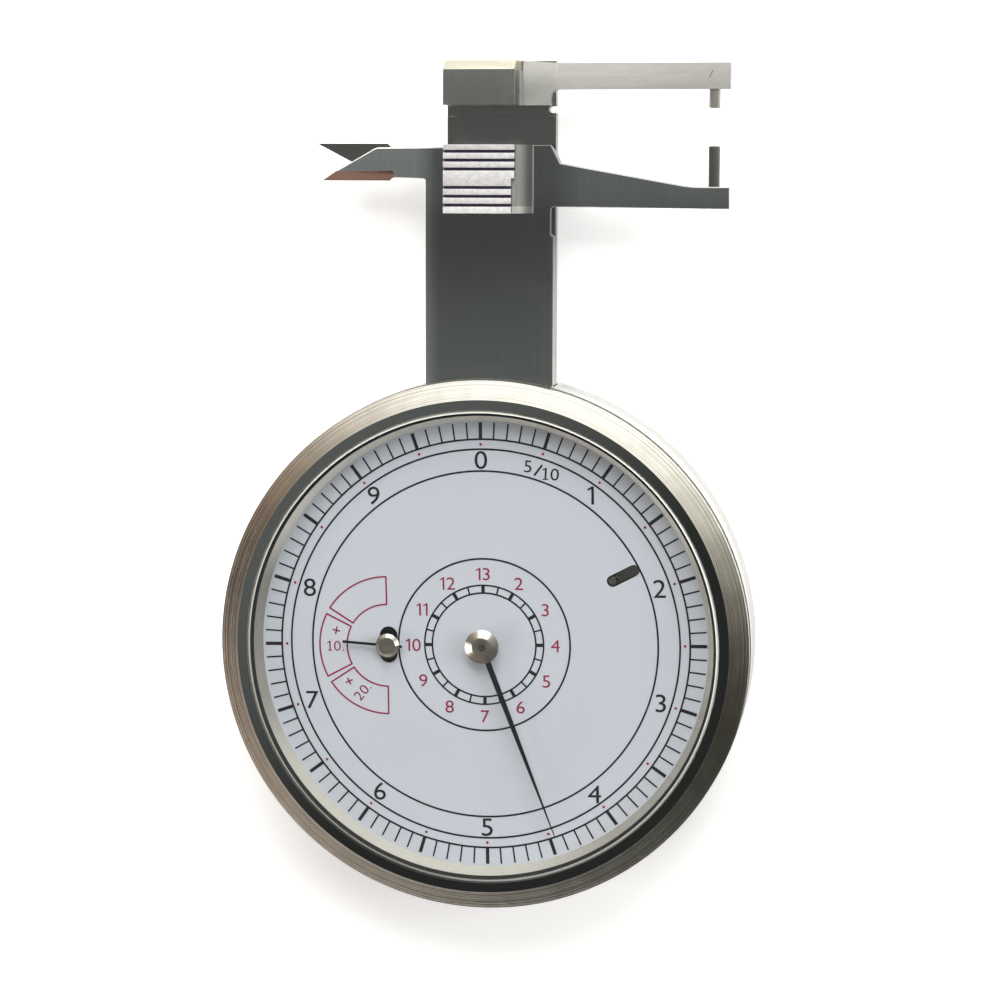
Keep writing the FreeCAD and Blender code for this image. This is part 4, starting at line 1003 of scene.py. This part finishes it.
@dataclass
class DialUnit(SubAssembly):
    """White dial with its scales printed on it."""

    twist: float = 1.1
    ink_height: float = 0.015
    line: float = 0.23
    scale_rings: tuple[float, ...] = (21.36, 24.02, 25.24)
    tick_inner: float = 25.24
    tick_outer: float = 27.3
    thin_tick: float = 0.2
    bold_tick: float = 0.42
    dot_radius: float = 0.17
    dot_at: float = 24.62
    number_at: float = 22.7
    number_height: float = 2.2
    number_width: float = 1.11
    ring_number_at: float = 8.80
    ring_number_height: float = 1.53
    ring_number_drop: float = 0.07
    half_mark: tuple[tuple[str, Corner], ...] = (("5", (5.33, 22.01)), ("/", (6.60, 21.59)), ("10", (8.09, 21.11)))
    counter_signs: tuple[tuple[str, Corner, float], ...] = (
        ("+", (-18.41, 1.34), -12), ("10.", (-18.53, -0.60), 0), ("+", (-16.82, -4.96), 25), ("20.", (-15.15, -6.20), 50),
    )
    counter_sign_height: float = 1.22
    small_ring: float = 10.61
    box_rings: tuple[float, ...] = (6.40, 7.35)
    field_inner: float = 5.08
    field_outer: float = 8.5
    field_gap: float = 2.8
    field_end: float = 0.4
    field_at: Corner = (-11.97, -0.37)
    field_line: float = 0.2
    stroke: float = 0.17
    print_scale: float = 0.9968
    print_shift: Corner = (0.08, 0.05)
    printed: dict[Ink, list[bpy.types.Object]] = field(default_factory=lambda: {ink: [] for ink in Ink})

    def build(self) -> None:
        """Print the scales and dress the dial."""
        self.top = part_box("dial")[1].z / MM + 0.002
        self.keep(["dial"], "enamel")
        self.rings()
        self.ticks()
        self.numbers()
        self.counter_fields()
        for ink, pieces in self.printed.items():
            print_layer = join(pieces, ink.value + "_printing")
            shift = Matrix.Translation((self.print_shift[0] * MM, self.print_shift[1] * MM, 0))
            print_layer.data.transform(shift @ Matrix.Diagonal((self.print_scale, self.print_scale, 1, 1)))
            self.wardrobe.dress(print_layer, ink)
            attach(print_layer, self.body_of("dial"))
            self.slot_of("dial")
            LOG.info("%s has %d faces", print_layer.name, len(print_layer.data.polygons))

    def flat_ring(self, radius: float, width: float, centre: Corner = (0.0, 0.0), facets: int = 220) -> bpy.types.Object:
        """Printed circle, as a low closed band.

        Args:
            radius: Middle of the line in millimetres.
            width: Width of the line.
            centre: Centre of the circle.
            facets: Sides of the circle.

        Returns:
            The band.
        """
        outer, inner = radius + width / 2, radius - width / 2
        base, top = self.top, self.top + self.ink_height
        band = lathe("printed_circle", [(outer, base), (outer, top), (inner, top), (inner, base)], facets)
        band.data.transform(Matrix.Translation((centre[0] * MM, centre[1] * MM, 0)))
        return band

    def bar(self, width: float, start: float, end: float, clock: float, centre: Corner = (0.0, 0.0)) -> bpy.types.Object:
        """Printed radial line between two distances from a centre, at a clockwise angle from the top."""
        deselect_all()
        middle = (start + end) / 2
        bpy.ops.mesh.primitive_cube_add(
            size=1, location=(0, middle * MM, (self.top + self.ink_height / 2) * MM),
            scale=(width * MM, (end - start) * MM, self.ink_height * MM),
        )
        line = named("printed_line")
        settle(line)
        turn = Matrix.Rotation(-math.radians(clock - self.twist), 4, "Z")
        line.data.transform(Matrix.Translation((centre[0] * MM, centre[1] * MM, 0)) @ turn)
        return line

    def rings(self) -> None:
        """Black circles of the main scale and of the small box ring."""
        for radius in self.scale_rings:
            self.printed[Ink.BLACK].append(self.flat_ring(radius, self.line, facets=260))
        self.printed[Ink.BLACK].append(self.flat_ring(self.small_ring, self.line))
        for radius in self.box_rings:
            self.printed[Ink.BLACK].append(self.flat_ring(radius, self.line * 0.9, facets=140))
        inner, outer = self.box_rings
        for i in range(24):
            width = self.bold_tick if i % 2 == 0 else self.thin_tick
            self.printed[Ink.BLACK].append(self.bar(width, inner, outer, 15 * i))

    def ticks(self) -> None:
        """The hundred marks of the main scale, with a red dot inside each fifth one."""
        thin = self.bar(self.thin_tick, self.tick_inner, self.tick_outer, 0)
        bold = self.bar(self.bold_tick, self.tick_inner, self.tick_outer, 0)
        dot = self.dot()
        for i in range(1, 100):
            model = bold if i % 5 == 0 else thin
            self.printed[Ink.BLACK].append(turned_copy(model, (0, 0), 3.6 * i))
        for i in range(1, 20):
            self.printed[Ink.RED].append(turned_copy(dot, (0, 0), 18 * i))
        self.printed[Ink.BLACK].append(bold)
        self.printed[Ink.RED].append(dot)
        bpy.data.objects.remove(thin)

    def dot(self) -> bpy.types.Object:
        """Small red disc beside a bold mark."""
        deselect_all()
        bpy.ops.mesh.primitive_cylinder_add(
            vertices=16, radius=self.dot_radius * MM, depth=self.ink_height * MM,
            location=(0, self.dot_at * MM, (self.top + self.ink_height / 2) * MM),
        )
        disc = named("printed_dot")
        settle(disc)
        disc.data.transform(Matrix.Rotation(math.radians(self.twist), 4, "Z"))
        return disc

    def stroke_bar(self, start: Corner, end: Corner, width: float) -> bpy.types.Object:
        """Straight stroke of a drawn figure between two points, in heights of the figure."""
        along = Vector((end[0] - start[0], end[1] - start[1], 0))
        deselect_all()
        bpy.ops.mesh.primitive_plane_add(size=1)
        made = named("printed_stroke")
        made.data.transform(Matrix.Diagonal((along.length, width, 1, 1)))
        middle = Vector(((start[0] + end[0]) / 2, (start[1] + end[1]) / 2, 0))
        made.data.transform(Matrix.Translation(middle) @ Matrix.Rotation(math.atan2(along.y, along.x), 4, "Z"))
        return made

    def glyph(self, sign: str, weight: float, foot: bool) -> bpy.types.Object:
        """One flat figure, one unit high where it is a digit, with its foot at y = 0.

        Args:
            sign: The figure or sign.
            weight: Amount that thickens a typeface figure's strokes.
            foot: Whether a one stands on a short foot line.

        Returns:
            The flat mesh.
        """
        width = self.stroke * 0.85
        if sign == "1":
            strokes = [
                self.stroke_bar((0.30, 0.0), (0.30, 1.0), width),
                self.stroke_bar((0.02, 0.80), (0.29, 0.955), width * 0.72),
            ]
            if foot:
                strokes.append(self.stroke_bar((0.06, 0.045), (0.54, 0.045), width * 0.6))
            return join(strokes, "printed_sign")
        if sign == "+":
            return join(
                [self.stroke_bar((0.0, 0.5), (0.8, 0.5), width), self.stroke_bar((0.4, 0.1), (0.4, 0.9), width)],
                "printed_sign",
            )
        if sign == "/":
            return self.stroke_bar((0.0, 0.03), (0.62, 0.95), width * 1.15)
        if sign == ".":
            return self.stroke_bar((0.0, 0.07), (0.14, 0.07), 0.14)
        deselect_all()
        bpy.ops.object.text_add()
        letter = named("printed_sign")
        letter.data.body = sign
        letter.data.offset = weight
        bpy.ops.object.convert(target="MESH")
        letter = bpy.context.active_object
        ys = [v.co.y for v in letter.data.vertices]
        scale = 1 / (max(ys) - min(ys))
        letter.data.transform(Matrix.Translation((0, -min(ys), 0)))
        letter.data.transform(Matrix.Diagonal((scale * self.number_width, scale, 1, 1)))
        return letter

    def figure(
        self, text: str, height: float, at: Corner, turn: float, weight: float = 0.0, foot: bool = False
    ) -> bpy.types.Object:
        """Printed number.

        Args:
            text: The figures to print.
            height: Height of the figures in millimetres.
            at: Centre of the number.
            turn: Counter-clockwise turn in degrees.
            weight: Amount that thickens the strokes, in the units of the typeface.
            foot: Whether each one stands on a short foot line.

        Returns:
            The number as a mesh.
        """
        signs, pen = [], 0.0
        for sign in text:
            made = self.glyph(sign, weight, foot)
            xs = [v.co.x for v in made.data.vertices]
            made.data.transform(Matrix.Translation((pen - min(xs), 0, 0)))
            pen += max(xs) - min(xs) + self.stroke
            signs.append(made)
        number = join(signs, "printed_number")
        number.data.transform(Matrix.Translation((-(pen - self.stroke) / 2, -0.5, 0)))
        number.data.transform(Matrix.Diagonal((height * MM, height * MM, 1, 1)))
        place = Matrix.Translation((at[0] * MM, at[1] * MM, self.top * MM))
        number.data.transform(place @ Matrix.Rotation(math.radians(turn), 4, "Z"))
        pick(number)
        rise = number.modifiers.new("ink_rise", "SOLIDIFY")
        rise.thickness = self.ink_height * MM
        rise.offset = 1.0
        bpy.ops.object.modifier_apply(modifier=rise.name)
        return number

    def at_clock(self, radius: float, clock: float) -> Corner:
        """Point of the dial at a clockwise angle from its own top."""
        angle = math.radians(90 - clock + self.twist)
        return radius * math.cos(angle), radius * math.sin(angle)

    def numbers(self) -> None:
        """Figures of the main scale, the half mark and the ring sizes."""
        for i in range(10):
            at = self.at_clock(self.number_at, 36 * i)
            self.printed[Ink.BLACK].append(self.figure(str(i), self.number_height, at, self.twist))
        for text, at in self.half_mark:
            self.printed[Ink.BLACK].append(self.figure(text, 1.46, at, self.twist - 4, 0.0, foot=True))
        for i, text in enumerate(["13"] + [str(n) for n in range(2, 13)]):
            x, y = self.at_clock(self.ring_number_at, 30 * i)
            at = (x, y - self.ring_number_drop)
            self.printed[Ink.RED].append(self.figure(text, self.ring_number_height, at, self.twist, 0.0))

    def arc_band(self, radius: float, width: float, start: float, end: float, centre: Corner) -> bpy.types.Object:
        """Part of a printed circle between two counter-clockwise angles."""
        band = self.flat_ring(radius, width, facets=360)
        pick(band)
        bpy.ops.object.mode_set(mode="EDIT")
        for angle, keep_left in ((start, True), (end, False)):
            along = Vector((math.cos(math.radians(angle)), math.sin(math.radians(angle)), 0))
            normal = Vector((-along.y, along.x, 0)) * (1 if keep_left else -1)
            bpy.ops.mesh.select_all(action="SELECT")
            bpy.ops.mesh.bisect(
                plane_co=(0, 0, 0), plane_no=normal, use_fill=True, clear_inner=True, clear_outer=False
            )
        bpy.ops.object.mode_set(mode="OBJECT")
        band.data.transform(Matrix.Translation((centre[0] * MM, centre[1] * MM, 0)))
        return band

    def counter_fields(self) -> None:
        """Red outlined fields round the turn counter, and their figures."""
        for start in (90, 150, 210):
            low = start + (self.field_end if start == 90 else self.field_gap) + self.twist
            high = start + 60 - (self.field_end if start == 210 else self.field_gap) + self.twist
            for radius in (self.field_inner, self.field_outer):
                self.printed[Ink.RED].append(self.arc_band(radius, self.field_line, low, high, self.field_at))
            for angle in (low, high):
                self.printed[Ink.RED].append(
                    self.bar(
                        self.field_line, self.field_inner - 0.1, self.field_outer + 0.1,
                        90 - angle + self.twist, self.field_at,
                    )
                )
        for text, at, turn in self.counter_signs:
            height = self.counter_sign_height
            self.printed[Ink.RED].append(self.figure(text, height, at, turn + self.twist, -0.004, foot=True))


@dataclass
class HandUnit(SubAssembly):
    """Both hands with their hubs, the arbors and the zero setter."""

    hand_clock: float = 158.7
    hand_widths: tuple[Corner, ...] = (
        (1.3, 0.74), (2.1, 0.70), (7.5, 0.62), (9.8, 0.57), (15.0, 0.43), (20.5, 0.23), (24.3, 0.12), (25.0, 0.07),
    )
    collar_inner: float = 1.17
    collar_outer: float = 1.65
    main_hub_radius: float = 2.07
    main_hub_top: float = 1.15
    small_hub_radius: float = 1.46
    small_hub_top: float = 1.02
    hub_edge: float = 0.035
    dish: float = 0.012
    counter_at: Corner = (-11.758, -0.226)

    def build(self) -> None:
        """Refine what shows through the crystal and dress the rest."""
        self.main_hand()
        self.main_hub()
        self.small_hub()
        self.refine("centre_arbor", "setter", 0.03)
        self.refine("small_hand", "hand", 0.015)
        self.refine("zero_setter", "setter", 0.04)
        self.keep(["counter_stud", "lower_bush", "upper_bush"], "gear")
        self.keep(["rack_pinion", "motion_pinion"], "steel")
        self.keep(["counter_wheel"], "gear")

    def main_hand(self) -> None:
        """Long hand whose sides curve in towards its tip, on a flat collar."""
        low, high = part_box("main_hand")
        base, top = low.z / MM, high.z / MM
        start, width = self.hand_widths[0]
        deselect_all()
        bpy.ops.mesh.primitive_cube_add(
            size=1, location=(0, start * MM, (base + top) / 2 * MM), scale=(width * MM, 0.02 * MM, (top - base) * MM)
        )
        blade = named("tapered_hand")
        settle(blade)
        for face in blade.data.polygons:
            face.select = face.normal.y > 0.9
        for edge in blade.data.edges:
            edge.select = False
        for vertex in blade.data.vertices:
            vertex.select = vertex.co.y > start * MM
        bpy.ops.object.mode_set(mode="EDIT")
        bpy.ops.mesh.select_mode(type="FACE")
        for reach, next_width in self.hand_widths[1:]:
            bpy.ops.mesh.extrude_region_move(TRANSFORM_OT_translate={"value": (0, (reach - start) * MM, 0)})
            bpy.ops.transform.resize(value=(next_width / width, 1, 1), center_override=(0, 0, 0))
            start, width = reach, next_width
        bpy.ops.mesh.select_all(action="SELECT")
        bpy.ops.mesh.normals_make_consistent(inside=False)
        bpy.ops.object.mode_set(mode="OBJECT")
        blade.data.transform(Matrix.Rotation(-math.radians(self.hand_clock), 4, "Z"))
        inner, outer = self.collar_inner, self.collar_outer
        collar = lathe("hand_collar", [(outer, base), (outer, top), (inner, top), (inner, base)], 96)
        hand = join([blade, collar], "tapered_hand")
        smooth(hand, 25)
        self.stand_in(hand, "main_hand", "hand")

    def main_hub(self) -> None:
        """Crisp cone with a slightly dished flat top round the arbor's riveted end."""
        low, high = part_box("main_hub")
        hand_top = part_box("main_hand")[1].z / MM
        bottom, top = low.z / MM, high.z / MM
        outer, inner = self.main_hub_radius, self.main_hub_top
        bore = 0.605
        profile = [
            (bore, bottom), (1.145, bottom), (1.145, hand_top), (outer - 0.03, hand_top), (outer, hand_top + 0.03),
            (outer, hand_top + self.hub_edge), (inner + 0.02, top - 0.01), (inner - 0.03, top),
            (inner - 0.30, top - self.dish), (0.46, top - self.dish), (0.42, top - 0.10),
            (0.42, top - 0.22), (bore, top - 0.24),
        ]
        hub = lathe("dished_main_hub", profile, 128)
        smooth(hub, 8)
        self.stand_in(hub, "main_hub", "hub")

    def small_hub(self) -> None:
        """Crisp cone with a flat top and a centre mark."""
        low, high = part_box("small_hub")
        bottom, top = low.z / MM, high.z / MM
        outer, inner = self.small_hub_radius, self.small_hub_top
        profile = [
            (0.04, bottom), (outer - 0.03, bottom), (outer, bottom + 0.03), (outer, bottom + self.hub_edge),
            (inner + 0.02, top - 0.01), (inner - 0.03, top), (0.30, top), (0.27, top - 0.03), (0.04, top - 0.03),
        ]
        hub = lathe("flat_small_hub", profile, 112)
        hub.data.transform(Matrix.Translation((self.counter_at[0] * MM, self.counter_at[1] * MM, 0)))
        smooth(hub, 8)
        self.stand_in(hub, "small_hub", "hub")


@dataclass
class StemUnit(SubAssembly):
    """Fixed beam and head, slide and grip, arms and pins."""

    block_right: float = 4.15
    block_chamfer: float = 1.1
    hollow_reach: float = 0.7
    hollow_depth: float = 2.5

    def build(self) -> None:
        """Refine the main pieces of the stem and dress the rest as they are."""
        self.refine("beam", "beam", 0.05)
        self.refine("upper_arm", "arm", 0.05)
        self.block()
        self.refine("slide", "slide", 0.03)
        self.refine("thumb_grip", "grip", 0.05)
        self.refine("upper_pin", "pin", 0.03)
        self.refine("lower_pin", "pin", 0.03)
        self.keep(["head_rivets", "grip_rivets", "rack", "rack_screws"], "steel")
        self.keep(["left_guide", "right_guide", "brake_spring"], "steel")

    def block(self) -> None:
        """Block with a chamfered top edge and a hollow ground into its right side."""
        low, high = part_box("top_block")
        left, right = low.x / MM, self.block_right
        deselect_all()
        bpy.ops.mesh.primitive_cube_add(
            size=1,
            location=((left + right) / 2 * MM, (low.y + high.y) / 2, (low.z + high.z) / 2),
            scale=((right - left) * MM, high.y - low.y, high.z - low.z),
        )
        piece = named("hollowed_block")
        settle(piece)
        for face in piece.data.polygons:
            face.select = False
        for edge in piece.data.edges:
            ends = [piece.data.vertices[i].co for i in edge.vertices]
            edge.select = all(end.y > high.y - 1e-6 and end.z > high.z - 1e-6 for end in ends)
        bpy.ops.object.mode_set(mode="EDIT")
        bpy.ops.mesh.select_mode(type="EDGE")
        bpy.ops.mesh.bevel(offset=self.block_chamfer * MM, segments=1, affect="EDGES")
        bpy.ops.object.mode_set(mode="OBJECT")
        deselect_all()
        bpy.ops.mesh.primitive_cylinder_add(vertices=160, radius=1, depth=3 * (high.y - low.y), rotation=(math.pi / 2, 0, 0))
        wheel = named("grinding_wheel")
        settle(wheel)
        wheel.data.transform(Matrix.Diagonal((self.hollow_reach * MM, 1, self.hollow_depth * MM, 1)))
        wheel.data.transform(Matrix.Translation((right * MM, (low.y + high.y) / 2, high.z)))
        pick(piece)
        ground = piece.modifiers.new("ground_hollow", "BOOLEAN")
        ground.operation = "DIFFERENCE"
        ground.object = wheel
        ground.solver = "EXACT"
        bpy.ops.object.modifier_apply(modifier=ground.name)
        bpy.data.objects.remove(wheel)
        rounding = piece.modifiers.new("rounded_edges", "BEVEL")
        rounding.width = 0.04 * MM
        rounding.segments = 2
        rounding.limit_method = "ANGLE"
        rounding.angle_limit = math.radians(24)
        bpy.ops.object.modifier_apply(modifier=rounding.name)
        smooth(piece, 22)
        self.stand_in(piece, "top_block", "block")


@dataclass
class Studio:
    """Floor, lamps, surroundings and camera."""

    frame: dict
    focal_pixels: float = 2847.0
    sensor: float = 36.0
    pixels_per_mm: float = 8.2
    dial_centre_pixel: Corner = (483.72, 644.95)
    tilt: tuple[float, float, float] = (2.38, -10.37, 23.35)
    roll: float = -23.76
    floor_half: float = 3.0
    floor_glow: float = 0.40
    floor_sheen: float = 0.12
    ceiling: Colour = (0.16, 0.168, 0.162)
    card_strength: float = 2.0
    cards: tuple[tuple[float, Colour], ...] = (
        (-180, (0.028, 0.018, 0.011)), (-150, (0.17, 0.098, 0.055)), (-115, (0.077, 0.061, 0.044)),
        (-85, (0.077, 0.077, 0.068)), (-40, (0.014, 0.015, 0.012)), (-5, (0.043, 0.036, 0.029)),
        (22, (0.29, 0.28, 0.24)), (45, (0.90, 0.88, 0.80)), (80, (1.0, 0.99, 0.95)), (115, (0.92, 0.90, 0.84)),
        (140, (0.30, 0.25, 0.20)), (160, (0.128, 0.085, 0.055)), (180, (0.028, 0.018, 0.011)),
    )

    def build(self) -> None:
        """Set up the whole studio."""
        self.floor()
        self.surroundings()
        self.lamps()
        self.camera()
        bpy.context.scene.view_settings.view_transform = "Standard"

    def floor(self) -> None:
        """Plain pale floor under the gauge."""
        deselect_all()
        bpy.ops.mesh.primitive_plane_add(size=2 * self.floor_half)
        plane = named("pale_floor")
        material, graph, shader = new_material("floor_paper")
        tone = graph.noise(graph.place(), 0.02, 2.0)
        graph.feed(
            shader.inputs["Base Color"], graph.blend(tone, (0.90, 0.90, 0.90), (0.94, 0.94, 0.94))
        )
        shader.inputs["Roughness"].default_value = 0.9
        path = graph.node("ShaderNodeLightPath")
        direct = graph.math("MAXIMUM", path.outputs["Is Camera Ray"], path.outputs["Is Transmission Ray"])
        mirrored = graph.math("MULTIPLY", path.outputs["Is Glossy Ray"], self.floor_sheen)
        shader.inputs["Emission Color"].default_value = (1.0, 1.0, 1.0, 1.0)
        graph.feed(
            shader.inputs["Emission Strength"], graph.math("MULTIPLY_ADD", direct, self.floor_glow, mirrored)
        )
        plane.data.materials.append(material)

    def surroundings(self) -> None:
        """Room light: a ring of pale and dark cards round the gauge, and a dark ceiling."""
        world = bpy.data.worlds.new("studio_room")
        bpy.context.scene.world = world
        world.use_nodes = True
        world.node_tree.nodes.clear()
        graph = Graph(world.node_tree)
        way = graph.node("ShaderNodeTexCoord").outputs["Generated"]
        right, ahead, up = graph.parts(way)
        turn = graph.math("MULTIPLY_ADD", graph.math("ARCTAN2", ahead, right), 0.5 / math.pi, 0.5)
        cards = graph.node("ShaderNodeValToRGB")
        graph.feed(cards.inputs[0], turn)
        ramp = cards.color_ramp
        ramp.interpolation = "B_SPLINE"
        while len(ramp.elements) < len(self.cards):
            ramp.elements.new(1.0)
        for element, (degrees, colour) in zip(ramp.elements, self.cards):
            element.position = degrees / 360 + 0.5
            element.color = opaque(colour)
        ring = graph.scaled(cards.outputs[0], self.card_strength)
        horizon = graph.blend(graph.spread(up, -0.02, 0.05), (0.9, 0.9, 0.88), ring)
        sky = graph.blend(graph.spread(up, 0.66, 0.90), horizon, self.ceiling)
        path = graph.node("ShaderNodeLightPath")
        background = graph.node("ShaderNodeBackground")
        graph.feed(background.inputs["Color"], graph.blend(path.outputs["Is Camera Ray"], sky, (1.0, 1.0, 1.0)))
        background.inputs["Strength"].default_value = 1.0
        output = graph.node("ShaderNodeOutputWorld")
        graph.feed(output.inputs["Surface"], background.outputs[0])

    def lamp(
        self, name: str, place: tuple[float, float, float], size: float, power: float, colour: Colour, mirrored: bool
    ) -> None:
        """Square lamp that faces the dial.

        Args:
            name: Plain name of the lamp.
            place: Its place in metres.
            size: Side length in metres.
            power: Power in watts.
            colour: Colour of its light.
            mirrored: Whether polished metal shows the lamp itself.
        """
        deselect_all()
        bpy.ops.object.light_add(type="AREA", location=place)
        made = named(name)
        made.data.size = size
        made.data.energy = power
        made.data.color = colour
        made.visible_glossy = mirrored
        aim = Vector((0, 0.02, 0.01)) - Vector(place)
        made.rotation_euler = aim.to_track_quat("-Z", "Y").to_euler()

    def lamps(self) -> None:
        """Large soft lamp at the upper left, and two weaker ones that only fill the shadows."""
        self.lamp("main_softbox", (0.04, 0.83, 0.62), 0.80, 10.6, (1.0, 0.99, 0.97), False)
        self.lamp("side_softbox", (0.85, 0.15, 0.45), 0.45, 4.2, (0.97, 0.98, 1.0), False)
        self.lamp("left_softbox", (-0.85, -0.25, 0.45), 0.45, 3.6, (1.0, 0.98, 0.96), False)

    def camera(self) -> None:
        """Camera at the photograph's viewing angle, worked out from the tilt of the dial."""
        rx, ry, rz = (math.radians(a) for a in self.tilt)
        turn = (
            Matrix.Rotation(rz, 3, "Z") @ Matrix.Rotation(rx, 3, "X") @ Matrix.Rotation(ry, 3, "Y")
            @ Matrix.Rotation(math.radians(self.roll), 3, "Z")
        )
        half = PICTURE_SIDE / 2
        off = Vector((self.dial_centre_pixel[0] - half, half - self.dial_centre_pixel[1], 0))
        eye = turn.transposed() @ (Vector((0, 0, self.focal_pixels)) - off) / self.pixels_per_mm
        dial_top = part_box("dial")[1].z
        data = bpy.data.cameras.new("picture_camera")
        data.sensor_width = self.sensor
        data.lens = self.sensor * self.focal_pixels / PICTURE_SIDE
        data.clip_start, data.clip_end = 0.01, 20
        camera = bpy.data.objects.new("picture_camera", data)
        bpy.context.scene.collection.objects.link(camera)
        camera.matrix_world = Matrix.Translation(eye * MM + Vector((0, 0, dial_top))) @ turn.transposed().to_4x4()
        bpy.context.scene.camera = camera
        LOG.info("camera at %s", tuple(round(c, 4) for c in camera.location))


def main() -> None:
    """Build the gauge and its studio in order."""
    logging.basicConfig(level=logging.INFO, format="%(message)s")
    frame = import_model()
    wardrobe = Wardrobe()
    CaseUnit(frame, wardrobe).build()
    DialUnit(frame, wardrobe).build()
    HandUnit(frame, wardrobe).build()
    StemUnit(frame, wardrobe).build()
    Studio(frame).build()


if __name__ == "__main__":
    main()
